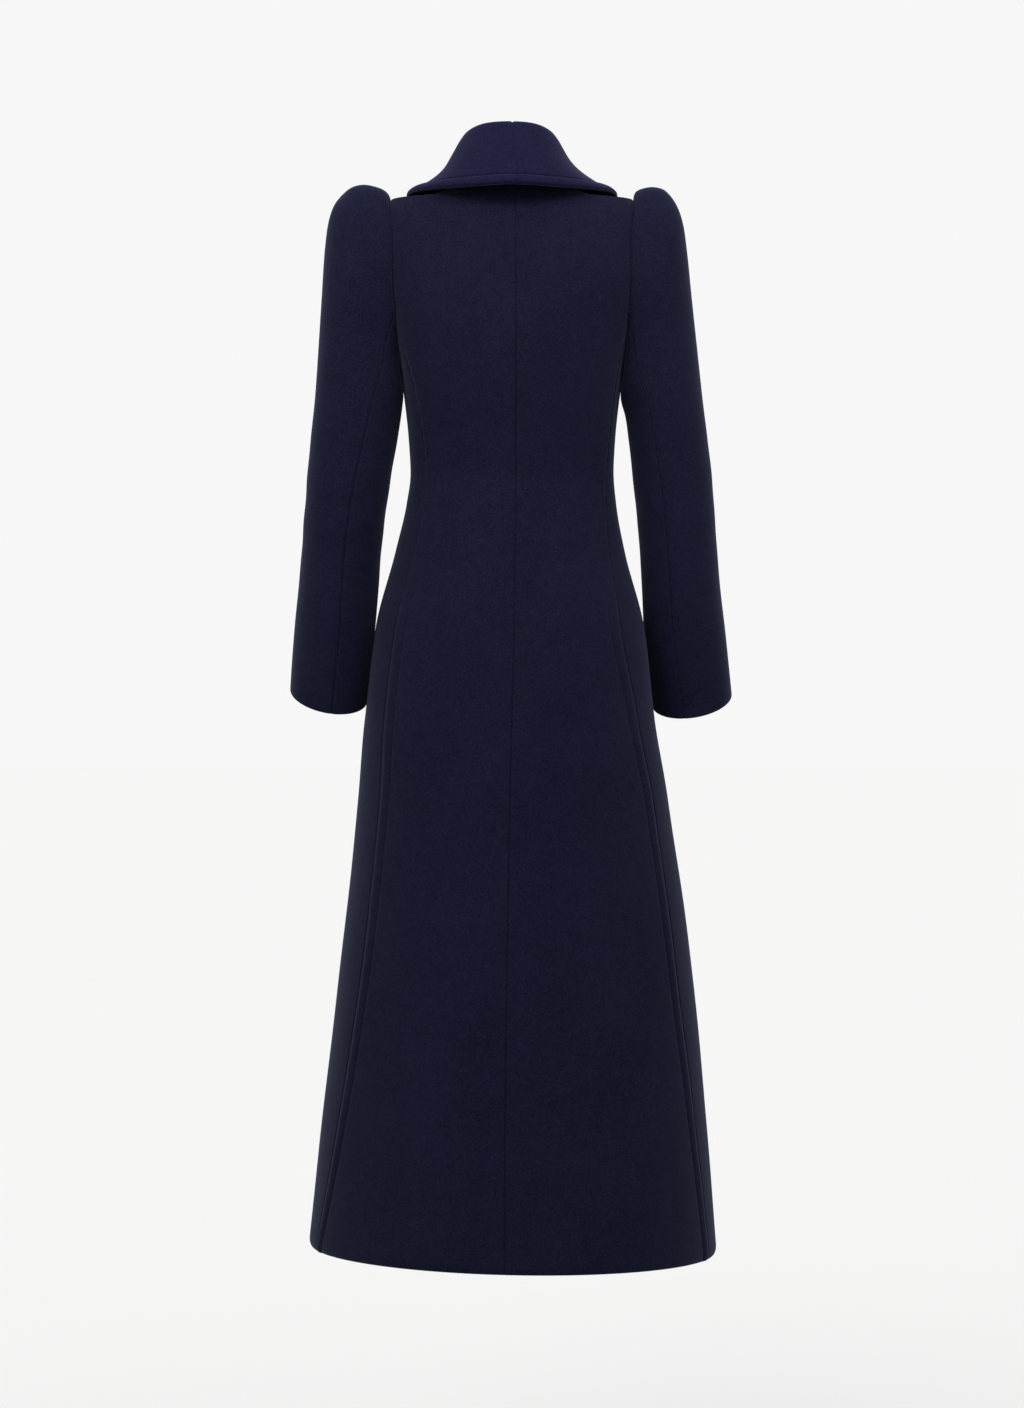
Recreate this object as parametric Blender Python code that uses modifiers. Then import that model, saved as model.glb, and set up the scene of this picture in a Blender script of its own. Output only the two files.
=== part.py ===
"""A full-length wool coat, worn and hollow, with a shawl collar, puffed sleeve heads and a flared skirt.

Metres, +Z up. The origin lies between the shoulders, where the wearer carries the coat. The front faces
-Y and the wearer's left is +X. Tables and sizes are in millimetres and are scaled by MM as they are built.
"""

import math
from collections import namedtuple

import bmesh
import bpy
import numpy as np
from mathutils import Vector

MM = 0.001

# Cloth and seams
CLOTH = 3.0
COLLAR_CLOTH = 5.0
SEAM_GAP = 0.3
SLEEVE_GAP = 0.5
PROBE = 0.5
NAVY_WOOL = (0.010, 0.012, 0.032, 1.0)
HORN = (0.012, 0.012, 0.020, 1.0)

# Main levels, from the origin
HEM = -1382.0
HEM_DROP = 11.0
HEM_TURN = 5.0
HEM_TURN_TALL = 12.0
HEM_LEVEL_ABOVE = -1000.0
WIDEST = 530.0
SHOULDER_TIP = -27.0
NECK = -8.0
BREAK = -330.0

# Armhole: an oval in the side view, cut out of the body's face
ARM_BOTTOM = -250.0
ARM_BACK = 55.0
ARM_FRONT = 52.0
ARM_STEP = 20
SEAM_MEETS_ARM = 120
UNDER_ARM = 180
FULL_TURN = 360

# Fronts: the right one laps over the left one, which steps back under it
OVERLAP = 25.0
TUCK = 4.0
TUCK_FULL = 38.0
TUCK_NONE = 80.0

# Welt: the raised, stitched-down edge along the side-back seams and the collar's edge
WELT_WIDTH = 20.0
WELT_RISE = 1.8
WELT_STARTS = -500.0
WELT_FULL = -600.0

# Buttons down the centre front
BUTTON_COUNT = 4
BUTTON_FIRST = -347.0
BUTTON_PITCH = 105.0
BUTTON_RADIUS = 14.0
BUTTON_THICK = 4.5
BUTTON_SHANK = 1.8
SHANK_RADIUS = 4.0
BUTTON_TURN = 20
BUTTON_LIFT = 0.5

# Body sections from hem to neck. The seams are shares of the half width, read on the back.
Level = namedtuple("Level", "height half_width back front square sway centre_seam left_seam right_seam")
BODY = [
    Level(HEM, 265.0, 236.0, 226.0, 2.00, -1.0, 9.0, 0.957, 0.952),
    Level(-1222, 250.0, 219.0, 208.0, 2.00, -3.0, 8.5, 0.905, 0.930),
    Level(-1014, 227.5, 197.0, 186.0, 2.00, -5.0, 6.0, 0.862, 0.897),
    Level(-806, 201.5, 172.0, 160.0, 2.00, -1.5, 2.5, 0.848, 0.890),
    Level(-702, 187.0, 158.0, 146.0, 2.05, 2.0, 0.0, 0.850, 0.870),
    Level(-577, 171.0, 143.0, 129.0, 2.10, 2.5, -3.0, 0.840, 0.815),
    Level(-484, 148.0, 119.0, 112.0, 2.15, 2.5, -4.0, 0.815, 0.850),
    Level(-421, 136.0, 101.0, 104.0, 2.20, 1.0, -5.0, 0.820, 0.895),
    Level(-382, 132.0, 93.0, 102.0, 2.20, 0.0, -5.0, 0.840, 0.920),
    Level(-343, 134.0, 96.0, 107.0, 2.25, 0.0, -5.0, 0.850, 0.935),
    Level(-296, 138.5, 105.0, 118.0, 2.30, 0.0, -5.0, 0.872, 0.940),
    Level(ARM_BOTTOM, 145.0, 110.0, 124.0, 2.35, 0.0, -5.0, 0.905, 0.943),
    Level(-195, 157.7, 112.0, 121.0, 2.40, 0.0, -5.0, 0.944, 0.944),
    Level(-133, 168.0, 107.0, 100.0, 2.40, 0.0, -5.0, 0.944, 0.944),
    Level(-60, 166.7, 86.0, 68.0, 2.40, 0.0, -4.0, 0.944, 0.944),
    Level(SHOULDER_TIP, 157.0, 69.0, 48.0, 2.40, 0.0, -4.0, 0.944, 0.944),
    Level(-24, 118.0, 67.0, 46.5, 2.35, 0.0, -3.0, 0.944, 0.944),
    Level(-17, 93.0, 63.5, 46.0, 2.25, 0.0, -3.0, 0.944, 0.944),
    Level(NECK, 74.0, 60.0, 46.0, 2.20, 0.0, -3.0, 0.944, 0.944),
]

# Sleeve sections from the armhole to the cuff. Each is an oval from its inner to its outer point; free is
# how far it has left the armhole's own oval, and seam is where the back seam crosses it, in degrees.
Ring = namedtuple("Ring", "inner_x inner_z outer_x outer_z depth forward tilt free seam")
LEFT_SLEEVE = [
    Ring(145.0, -250, 157.0, -27, 55, 0, 0.00, 0.0, 120),
    Ring(147.0, -254, 162.0, -11, 56, 0, 0.00, 0.4, 120),
    Ring(147.5, -258, 175.0, -4.5, 58, 0, 0.00, 0.7, 120),
    Ring(147.5, -262, 191.0, -4, 60, 0, 0.00, 0.9, 121),
    Ring(147.5, -266, 208.0, -9.5, 61, 0, 0.00, 1.0, 121),
    Ring(147.0, -270, 221.0, -20, 62, 1, 0.00, 1.0, 121),
    Ring(146.5, -274, 232.0, -35, 63, 1, 0.00, 1.0, 121),
    Ring(146.0, -278, 239.0, -58, 64, 2, 0.00, 1.0, 120),
    Ring(145.0, -283, 243.5, -95, 64, 3, 0.00, 1.0, 118),
    Ring(144.0, -288, 247.0, -150, 64, 4, 0.00, 1.0, 115),
    Ring(143.0, -294, 251.0, -215, 64, 6, 0.00, 1.0, 110),
    Ring(142.5, -306, 255.0, -275, 64, 8, 0.00, 1.0, 107),
    Ring(149.0, -343, 261.0, -340, 63, 11, 0.02, 1.0, 104),
    Ring(157.5, -390, 265.0, -388, 62, 13, 0.06, 1.0, 101),
    Ring(164.5, -437, 269.0, -435, 60, 13, 0.12, 1.0, 98),
    Ring(170.0, -484, 273.0, -481, 59, 11, 0.20, 1.0, 97),
    Ring(175.0, -535, 277.5, -529, 58, 7, 0.28, 1.0, 97),
    Ring(177.0, -583, 282.0, -574, 57, 2, 0.34, 1.0, 98),
    Ring(183.0, -632, 285.5, -619, 56, -4, 0.38, 1.0, 98),
    Ring(188.5, -680, 288.5, -663, 55, -10, 0.40, 1.0, 97),
]
RIGHT_SLEEVE = [
    Ring(145.0, -250, 157.0, -27, 55, 0, 0.00, 0.0, 120),
    Ring(147.0, -254, 158.5, -15, 56, 0, 0.00, 0.4, 120),
    Ring(147.5, -258, 163.0, -9.5, 58, 0, 0.00, 0.7, 120),
    Ring(147.5, -262, 179.5, -7.5, 60, 0, 0.00, 0.9, 119),
    Ring(147.5, -266, 196.0, -12, 61, 0, 0.00, 1.0, 118),
    Ring(147.5, -270, 207.0, -22, 62, 0, 0.00, 1.0, 117),
    Ring(147.5, -274, 216.0, -37, 63, 0, 0.00, 1.0, 115),
    Ring(147.5, -278, 223.0, -60, 64, 0, 0.00, 1.0, 115),
    Ring(147.0, -283, 228.0, -97, 64, 0, 0.00, 1.0, 115),
    Ring(147.0, -288, 233.5, -152, 64, 0, 0.00, 1.0, 115),
    Ring(147.0, -294, 240.5, -217, 64, -1, 0.00, 1.0, 115),
    Ring(148.0, -306, 247.0, -277, 63, -2, 0.00, 1.0, 114),
    Ring(153.0, -343, 254.5, -341, 62, -3, 0.02, 1.0, 112),
    Ring(157.5, -390, 260.0, -389, 60, -5, 0.06, 1.0, 110),
    Ring(163.0, -437, 264.0, -436, 59, -8, 0.12, 1.0, 109),
    Ring(167.0, -484, 268.0, -482, 58, -13, 0.20, 1.0, 108),
    Ring(171.5, -535, 272.5, -531, 57, -20, 0.28, 1.0, 107),
    Ring(174.0, -584, 278.0, -577, 56, -28, 0.34, 1.0, 107),
    Ring(180.0, -634, 283.0, -624, 55, -36, 0.38, 1.0, 106),
    Ring(186.0, -685, 288.0, -670, 55, -44, 0.40, 1.0, 105),
]
SLEEVES = {"left": LEFT_SLEEVE, "right": RIGHT_SLEEVE}
FRONT_SLEEVE_SEAM = 240

# Collar sections round the neck, from the centre back to the front of the shoulder. Each runs from the
# neck seam up the stand, over the fold and down the fall to the outer edge.
Section = namedtuple("Section", "base stand fold roll fall edge")
NECK_SECTIONS = [
    Section((0, 58.5, -7.5), (0, 51, 54), (0, 57, 65), (0, 64, 58), (0, 81, 20), (0, 99, -19)),
    Section((38, 51, -7.5), (29, 45, 52), (32, 50, 63), (36, 57, 56), (47, 72, 19), (58, 88, -21)),
    Section((64, 30, -7.5), (47, 29, 45), (52, 32, 55), (58, 36, 49), (77, 44, 13), (106, 57, -21)),
    Section((72.5, 0, -7), (53, 2, 35), (58, 2, 44.5), (66, 1, 38), (90, 4, 5), (133, 8, -20)),
    Section((70, -30, -12), (58, -28, 14), (63, -31, 22), (71, -33, 16), (102, -39, -13), (138, -47, -29.5)),
]

# Lapel sections on the fronts: where the roll line and the outer edge lie, and the roll's own shape as
# distances towards the neck opening and out of the cloth.
Lapel = namedtuple("Lapel", "roll_x roll_z edge_x edge_z")
LEFT_LAPEL_END = [Lapel(10.0, -232, 66.0, -262), Lapel(18.0, -254, 48.0, -278), Lapel(24.0, -273, 34.0, -290)]
RIGHT_LAPEL_END = [Lapel(-0.4, -250, 45.0, -284), Lapel(-14.2, -295, 5.0, -313), Lapel(-22.5, -322, -13.0, -328)]
LAPEL_TOP = ((-45, 137.0, -85), (-95, 124.0, -140), (-150, 104.0, -195), (-200, 84.0, -238))
LAPEL_LIFT = 5.2
COLLAR_SEAM_SHIFT = 0.12
COLLAR_LEAN = 3.5
ROLL_SHAPE = ((3.2, -1.0), (4.2, 3.0), (2.5, 7.0), (-4.0, 7.2))


def column(rows, name):
    return np.array([getattr(row, name) for row in rows], float)


def smooth(rows, name, at):
    """A column of the body table at any height, on a curve that never overshoots its rows."""
    x, y = column(rows, "height"), column(rows, name)
    step, grade = np.diff(x), np.diff(y) / np.diff(x)
    same = grade[1:] * grade[:-1] > 0
    before, after = np.where(same, grade[:-1], 1.0), np.where(same, grade[1:], 1.0)
    near, far = 2 * step[1:] + step[:-1], step[1:] + 2 * step[:-1]
    middle = np.where(same, (near + far) / (near / before + far / after), 0.0)
    slope = np.concatenate([grade[:1], middle, grade[-1:]])
    i = np.clip(np.searchsorted(x, at, side="right") - 1, 0, len(x) - 2)
    t = (at - x[i]) / step[i]
    low = (1 + 2 * t) * (1 - t) ** 2 * y[i] + t * (1 - t) ** 2 * step[i] * slope[i]
    return low + t * t * (3 - 2 * t) * y[i + 1] + t * t * (t - 1) * step[i] * slope[i + 1]


def ramp(value, start, end):
    """0 before start, 1 after end, smooth between them."""
    t = np.clip((value - start) / (end - start), 0.0, 1.0)
    return t * t * (3 - 2 * t)


def unit(vectors):
    return vectors / np.linalg.norm(vectors, axis=-1, keepdims=True)


def signed_power(value, power):
    return np.sign(value) * np.abs(value) ** power


def body_ring(angle, height):
    """Points of the body's outer face. Angles run from the centre back, positive to the wearer's left."""
    angle, height = np.broadcast_arrays(np.asarray(angle, float), np.asarray(height, float))
    power = 2 / smooth(BODY, "square", height)
    depth = np.where(np.cos(angle) >= 0, smooth(BODY, "back", height), smooth(BODY, "front", height))
    x = smooth(BODY, "half_width", height) * signed_power(np.sin(angle), power) + smooth(BODY, "sway", height)
    drop = HEM_DROP * (0.5 - x / WIDEST) * ramp(-height, -HEM_LEVEL_ABOVE, -HEM)
    return np.stack([x, depth * signed_power(np.cos(angle), power), height - drop], axis=-1)


def body_normal(angle, height):
    """The outward direction of the body's face, from its flat section and how that changes with height."""
    angle, height = np.broadcast_arrays(np.asarray(angle, float), np.asarray(height, float))
    square = smooth(BODY, "square", height)
    wide = smooth(BODY, "half_width", height)
    deep = np.where(np.cos(angle) >= 0, smooth(BODY, "back", height), smooth(BODY, "front", height))
    share = 2 * (square - 1) / square
    across = signed_power(np.sin(angle), share) / wide
    along = signed_power(np.cos(angle), share) / deep
    flat = unit(np.stack([across, along], axis=-1))
    rise = (body_ring(angle, height + PROBE) - body_ring(angle, height - PROBE))[..., :2] / (2 * PROBE)
    up = -(flat * rise).sum(axis=-1)
    return unit(np.concatenate([flat, up[..., None]], axis=-1))


def body(angle, height, lift=0.0):
    """Points at a distance outside the body's face; a negative lift is inside the cloth."""
    return body_ring(angle, height) + body_normal(angle, height) * np.asarray(lift)[..., None]


def angle_at(x, height, front):
    """The angle of the body's face at a sideways place, on the back or on the front."""
    share = (x - smooth(BODY, "sway", height)) / smooth(BODY, "half_width", height)
    turn = np.arcsin(np.clip(signed_power(share, smooth(BODY, "square", height) / 2), -1, 1))
    return np.where(turn >= 0, math.pi - turn, -math.pi - turn) if front else turn


def nudge(angle, height, distance):
    """The angle that lies a distance in millimetres further round the body."""
    near = body_ring(angle - PROBE / 200, height)
    far = body_ring(angle + PROBE / 200, height)
    return angle + distance * (PROBE / 100) / np.linalg.norm(far - near, axis=-1)


def armhole(degrees, side):
    """Angles and heights round the armhole: 0 is the shoulder tip, 90 the back and 180 the underarm."""
    turn = np.radians(degrees)
    middle, half = (SHOULDER_TIP + ARM_BOTTOM) / 2, (SHOULDER_TIP - ARM_BOTTOM) / 2
    height = middle + half * np.cos(turn)
    reach = np.where(np.sin(turn) >= 0, ARM_BACK, ARM_FRONT) * np.sin(turn)
    deep = np.where(reach >= 0, smooth(BODY, "back", height), smooth(BODY, "front", height))
    cosine = signed_power(reach / deep, smooth(BODY, "square", height) / 2)
    return side * np.arccos(np.clip(cosine, -1, 1)), height


def roll_line(height):
    """How far a front reaches towards the other side: the lapel's roll line, then the front edge."""
    return -OVERLAP + (smooth(BODY, "half_width", NECK) + OVERLAP) * np.clip((height - BREAK) / (NECK - BREAK), 0, 1)


def grid_between(first, last, shares):
    return first[:, None] + (last - first)[:, None] * np.asarray(shares)[None, :]


def cloth_wall(name, outer, inner, material):
    """A closed wall between two grids of points, rows by columns."""
    rows, columns = outer.shape[:2]
    shape = bmesh.new()
    skins = [[[shape.verts.new(point * MM) for point in row] for row in grid] for grid in (outer, inner)]
    for skin in skins:
        for i in range(rows - 1):
            for j in range(columns - 1):
                shape.faces.new((skin[i][j], skin[i][j + 1], skin[i + 1][j + 1], skin[i + 1][j]))
    rim = [(0, j) for j in range(columns)] + [(i, columns - 1) for i in range(1, rows)]
    rim += [(rows - 1, j) for j in range(columns - 2, -1, -1)] + [(i, 0) for i in range(rows - 2, 0, -1)]
    for (i, j), (k, m) in zip(rim, rim[1:] + rim[:1]):
        shape.faces.new((skins[0][i][j], skins[0][k][m], skins[1][k][m], skins[1][i][j]))
    bmesh.ops.recalc_face_normals(shape, faces=shape.faces)
    return add_part(name, shape, material)


def add_part(name, shape, material):
    mesh = bpy.data.meshes.new(name)
    shape.to_mesh(mesh)
    shape.free()
    mesh.materials.append(material)
    mesh.shade_smooth()
    mesh.set_sharp_from_angle(angle=math.radians(40))
    part = bpy.data.objects.new(name, mesh)
    COAT.objects.link(part)
    return part


def body_panel(name, angles, heights, rise, material):
    """A panel of body cloth, turned in at the hem: rise lifts its outer points, and its inside stays plain."""
    rise = rise - np.where(heights <= HEM, HEM_TURN, 0.0)
    tuck = np.minimum(rise, 0.0)
    cloth_wall(name, body(angles, heights, rise), body(angles, heights, tuck - CLOTH), material)


SKIRT_ROWS = np.array([HEM, HEM + HEM_TURN_TALL, -1290, -1190, -1080, -970, -860, -760, -670, -600, -545, -500, -460, -421])
BODICE_ROWS = np.array([-382, -343, -300])
SHOULDER_ROWS = np.array([-25.5, -24, -17, NECK])
UPPER_SHARES = np.array([1 / 3, 2 / 3, 1])
FRONT_SHARES = np.array([0, 0.14, 0.28, 0.42, 0.56, 0.70, 0.82, 0.92, 1])


def side_seam_back(side, height):
    """The side-back seam, which runs from the armhole down to the hem."""
    share = smooth(BODY, "left_seam" if side > 0 else "right_seam", height)
    return side * np.arcsin(share ** (smooth(BODY, "square", height) / 2))


def back_panel(word, side, material):
    """One half of the back, from the centre back seam to the welt at the side-back seam, armhole and shoulder."""
    arm_angle, arm_height = armhole(np.arange(SEAM_MEETS_ARM, -1, -ARM_STEP), side)
    upper = BODICE_ROWS[-1] + (arm_height[0] - BODICE_ROWS[-1]) * UPPER_SHARES[:-1]
    seam_rows = np.concatenate([SKIRT_ROWS, BODICE_ROWS, upper])
    ridge = np.full(len(SHOULDER_ROWS), side * math.pi / 2)
    heights = np.concatenate([seam_rows, arm_height, SHOULDER_ROWS])
    outer = np.concatenate([side_seam_back(side, seam_rows), arm_angle, ridge])
    centre = angle_at(smooth(BODY, "centre_seam", heights), heights, front=False)
    centre = nudge(centre, heights, side * SEAM_GAP / 2)
    outer = nudge(outer, heights, -side * SEAM_GAP / 2)
    welt_edges = [nudge(outer, heights, -side * WELT_WIDTH * share) for share in (1.0, 0.75, 0.25, 0.0)]
    plain = grid_between(centre, welt_edges[0], np.linspace(0, 1, 6))
    angles = np.column_stack([plain, *welt_edges[1:]])
    levels = np.broadcast_to(heights[:, None], angles.shape)
    bump = np.array([0, 0, 0, 0, 0, 0, 1, 1, 0]) * WELT_RISE
    rise = ramp(-levels, -WELT_STARTS, -WELT_FULL) * bump[None, :]
    body_panel(f"back_{word}", angles, levels, rise, material)


def side_back_panel(word, side, material):
    """The panel from the side-back seam to the side seam."""
    rows = np.concatenate([SKIRT_ROWS, BODICE_ROWS])
    seam = nudge(side_seam_back(side, rows), rows, side * SEAM_GAP / 2)
    edge = nudge(np.full(len(rows), side * math.pi / 2), rows, -side * SEAM_GAP / 2)
    shares = np.linspace(0, 1, 6)
    angles = grid_between(seam, edge, shares)
    levels = np.broadcast_to(rows[:, None], angles.shape)
    arm_angle, arm_height = armhole(SEAM_MEETS_ARM + shares * (UNDER_ARM - SEAM_MEETS_ARM), side)
    arm_angle[0] = nudge(arm_angle[0], arm_height[0], side * SEAM_GAP / 2)
    arm_angle[-1] = nudge(arm_angle[-1], arm_height[-1], -side * SEAM_GAP / 2)
    for share in UPPER_SHARES:
        angles = np.vstack([angles, angles[len(rows) - 1] * (1 - share) + arm_angle * share])
        levels = np.vstack([levels, levels[len(rows) - 1] * (1 - share) + arm_height * share])
    upper = slice(len(rows), -1)
    angles[upper, 0] = nudge(side_seam_back(side, levels[upper, 0]), levels[upper, 0], side * SEAM_GAP / 2)
    body_panel(f"side_back_{word}", angles, levels, np.zeros(angles.shape), material)


def front_panel(word, side, material):
    """One front, from the side seam, armhole and shoulder seam to the front edge and the roll line."""
    side_rows = np.concatenate([SKIRT_ROWS, BODICE_ROWS])
    arm_angle, arm_height = armhole(np.arange(UNDER_ARM, FULL_TURN + 1, ARM_STEP), side)
    ridge_rows = SHOULDER_ROWS[:-1]
    heights = np.concatenate([side_rows, arm_height, ridge_rows])
    straight = np.full(len(side_rows), side * math.pi / 2)
    ridge = np.full(len(ridge_rows), side * math.pi / 2)
    outer = nudge(np.concatenate([straight, arm_angle, ridge]), heights, side * SEAM_GAP / 2)
    edge = angle_at(side * roll_line(heights), heights, front=True)
    edge = np.where(edge * side < 0, edge + side * 2 * math.pi, edge)
    angles = grid_between(outer, edge, FRONT_SHARES)
    levels = np.broadcast_to(heights[:, None], angles.shape)
    reach = side * body_ring(angles, levels)[..., 0]
    facing = np.cos(angles) < 0
    tuck = -TUCK * ramp(-reach, -TUCK_NONE, -TUCK_FULL) * facing if side > 0 else np.zeros(angles.shape)
    body_panel(f"front_{word}", angles, levels, tuck, material)


def sleeve_points(rings, k, degrees, side):
    """Points of one sleeve section, by angle: 0 is the outer point, 90 the back, 180 the inner point."""
    ring = rings[k]
    turn = np.radians(degrees)
    inner, outer = np.array([ring.inner_x, ring.inner_z]), np.array([ring.outer_x, ring.outer_z])
    middle, half = (inner + outer) / 2, (outer - inner) / 2
    back = ring.depth * np.sin(turn)
    x = middle[0] + half[0] * np.cos(turn)
    z = middle[1] + half[1] * np.cos(turn) - ring.tilt * back
    oval = np.stack([x, back + ring.forward, z], axis=-1)
    seat = body(*armhole(degrees, 1), 0.0) + np.array([SLEEVE_GAP, 0, 0])
    return (oval * ring.free + seat * (1 - ring.free)) * np.array([side, 1, 1])


def sleeve_normals(rings, k, degrees, side):
    """The outward direction of a sleeve section; at the armhole it leans away from the body."""
    if k == 0:
        turn = np.radians(degrees)
        lean = np.stack([-np.ones(len(turn)) * side, np.sin(turn), np.cos(turn)], axis=-1)
        return unit(lean)
    after = min(k + 1, len(rings) - 1)
    along = sleeve_points(rings, after, degrees, side) - sleeve_points(rings, k - 1, degrees, side)
    around = sleeve_points(rings, k, degrees + 1, side) - sleeve_points(rings, k, degrees - 1, side)
    return side * unit(np.cross(along, around))


def sleeve_panel(name, rings, starts, ends, count, side, material):
    """A panel of the sleeve between two seams, given as angles on each section."""
    outer, inner = [], []
    for k, (start, end) in enumerate(zip(starts, ends)):
        degrees = np.linspace(start, end, count + 1)
        seam = np.degrees(SLEEVE_GAP / 2 / rings[k].depth)
        degrees[0] += seam
        degrees[-1] -= seam
        points = sleeve_points(rings, k, degrees, side)
        outer.append(points)
        inner.append(points - sleeve_normals(rings, k, degrees, side) * CLOTH)
    cloth_wall(name, np.array(outer), np.array(inner), material)


def sleeve(word, side, material):
    """A two-piece sleeve: the top sleeve with its puffed head, and the under sleeve."""
    rings = SLEEVES[word]
    back_seam = column(rings, "seam")
    front_seam = np.full(len(rings), float(FRONT_SLEEVE_SEAM))
    top = (front_seam - FULL_TURN, back_seam)
    under = (back_seam, front_seam)
    sleeve_panel(f"top_sleeve_{word}", rings, *top, FRONT_SLEEVE_SEAM // ARM_STEP, side, material)
    sleeve_panel(f"under_sleeve_{word}", rings, *under, SEAM_MEETS_ARM // ARM_STEP, side, material)


def front_place(x, z, lift):
    """A point on the front at a sideways place and height, with the outward direction there."""
    angle = angle_at(np.array(float(x)), np.array(float(z)), front=True)
    return body(angle, np.array(float(z)), np.array(float(lift))), body_normal(angle, np.array(float(z)))


def lapel_section(lapel):
    """A collar section that lies on the front, with a soft roll at the roll line."""
    roll, out = front_place(lapel.roll_x, lapel.roll_z, 0.0)
    edge, _ = front_place(lapel.edge_x, lapel.edge_z, LAPEL_LIFT)
    middle_x, middle_z = (lapel.roll_x + lapel.edge_x) / 2, (lapel.roll_z + lapel.edge_z) / 2
    middle, _ = front_place(middle_x, middle_z, LAPEL_LIFT)
    towards = roll - edge
    towards = unit(towards - out * towards.dot(out))
    rolled = [roll + towards * inward + out * outward for inward, outward in ROLL_SHAPE]
    return Section(*rolled, middle, edge)


def spline(points, at):
    """Points on a smooth curve through evenly numbered control points, with one spare at each end."""
    i = np.clip(np.floor(at).astype(int), 0, len(points) - 4)
    t = (at - i)[:, None, None] if points.ndim == 3 else (at - i)[:, None]
    a, b, c, d = (points[i + n] for n in range(4))
    return 0.5 * (2 * b + (c - a) * t + (2 * a - 5 * b + 4 * c - d) * t ** 2 + (3 * b - a - 3 * c + d) * t ** 3)


def collar_surface(sections, along, across):
    """The middle of the collar's cloth, by place along it from the centre back and across it from the neck."""
    control = np.array([np.array(section, float) for section in sections])
    mirrored = control[1] * np.array([-1, 1, 1])
    control = np.concatenate([mirrored[None], control, 2 * control[-1:] - control[-2:-1]])
    lines = spline(control, along)
    ends = (2 * lines[:, :1] - lines[:, 1:2], lines, 2 * lines[:, -1:] - lines[:, -2:-1])
    lines = np.concatenate(ends, axis=1)
    return np.array([spline(line, across) for line in lines])


def lean(points):
    """The stand and fold lean a little towards the wearer's left."""
    points[..., 0] += COLLAR_LEAN * ramp(points[..., 2], NECK, 30.0)
    return points


def collar(word, side, lapel_end, material):
    """One half of the shawl collar, from the centre back seam to the end of its lapel."""
    lapels = [Lapel(float(roll_line(z)), z, edge_x, edge_z) for z, edge_x, edge_z in LAPEL_TOP]
    sections = NECK_SECTIONS + [lapel_section(lapel) for lapel in lapels + lapel_end]
    along = np.linspace(0, len(sections) - 1, 2 * len(sections) - 1)
    along[0] = -side * COLLAR_SEAM_SHIFT
    across = np.array([0, 0.5, 1, 1.5, 2, 2.5, 3, 3.5, 4, 4.45, 4.72, 4.8, 4.93, 5])
    tiny = 0.01
    middle = collar_surface(sections, along, across)
    du = collar_surface(sections, along + tiny, across) - collar_surface(sections, along - tiny, across)
    dv = collar_surface(sections, along, across + tiny) - collar_surface(sections, along, across - tiny)
    normal = unit(np.cross(du, dv))
    middle[0] += np.array([SEAM_GAP / 2, 0, 0])
    welt = np.where(across > 4.75, WELT_RISE, 0.0) * np.where(across > 4.99, 0.5, 1.0)
    half = COLLAR_CLOTH / 2
    outer = lean((middle + normal * (half + welt)[None, :, None]) * np.array([side, 1, 1]))
    inner = lean((middle - normal * half) * np.array([side, 1, 1]))
    cloth_wall(f"collar_{word}", outer, inner, material)


def button(number, material):
    """A turned button with a raised rim and a short shank, on the right front at the centre line."""
    rim, dish, top = BUTTON_RADIUS, BUTTON_RADIUS - 3.5, BUTTON_SHANK + BUTTON_THICK
    profile = [(0, top - 1.4), (dish - 1, top - 1.4), (dish + 1, top), (rim - 1, top), (rim, top - 1.6)]
    profile += [(rim - 1.5, BUTTON_SHANK + 0.3), (SHANK_RADIUS, BUTTON_SHANK), (SHANK_RADIUS, 0.0), (0, 0.0)]
    shape = bmesh.new()
    points = [shape.verts.new((radius * MM, 0, height * MM)) for radius, height in profile]
    for a, b in zip(points, points[1:]):
        shape.edges.new((a, b))
    part = add_part(f"button_{number}", shape, material)
    turn = part.modifiers.new("turn", "SCREW")
    turn.steps = turn.render_steps = BUTTON_TURN
    turn.use_merge_vertices = True
    turn.merge_threshold = 0.00001
    place, out = front_place(0.0, BUTTON_FIRST - BUTTON_PITCH * (number - 1), BUTTON_LIFT)
    part.location = Vector(place * MM)
    part.rotation_mode = "QUATERNION"
    part.rotation_quaternion = Vector(out).to_track_quat("Z", "Y")


def finish(name, colour, roughness):
    material = bpy.data.materials.new(name)
    material.use_nodes = True
    shader = material.node_tree.nodes["Principled BSDF"]
    shader.inputs["Base Color"].default_value = colour
    shader.inputs["Roughness"].default_value = roughness
    shader.inputs["Metallic"].default_value = 0.0
    return material


def build():
    wool = finish("navy_wool", NAVY_WOOL, 0.95)
    horn = finish("navy_horn", HORN, 0.45)
    for word, side in (("left", 1), ("right", -1)):
        back_panel(word, side, wool)
        side_back_panel(word, side, wool)
        front_panel(word, side, wool)
        sleeve(word, side, wool)
    collar("left", 1, LEFT_LAPEL_END, wool)
    collar("right", -1, RIGHT_LAPEL_END, wool)
    for number in range(1, BUTTON_COUNT + 1):
        button(number, horn)


for leftover in list(bpy.data.objects):
    bpy.data.objects.remove(leftover)
COAT = bpy.data.collections.new("wool_coat")
bpy.context.scene.collection.children.link(COAT)
build()
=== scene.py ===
"""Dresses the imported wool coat: fine cloth panels, seams, welts, stitching, buttons, studio and camera.

Metres, +Z up, the front faces -Y and the wearer's left is +X. The cut's tables are in millimetres.
They are the part's own, but for three things that follow the photo more closely: the hips, the sleeves'
inner edges and the upper end of each sleeve's back seam.
"""

import math
from collections import namedtuple

import bmesh
import bpy
import numpy as np
from mathutils import Matrix, Vector


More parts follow.
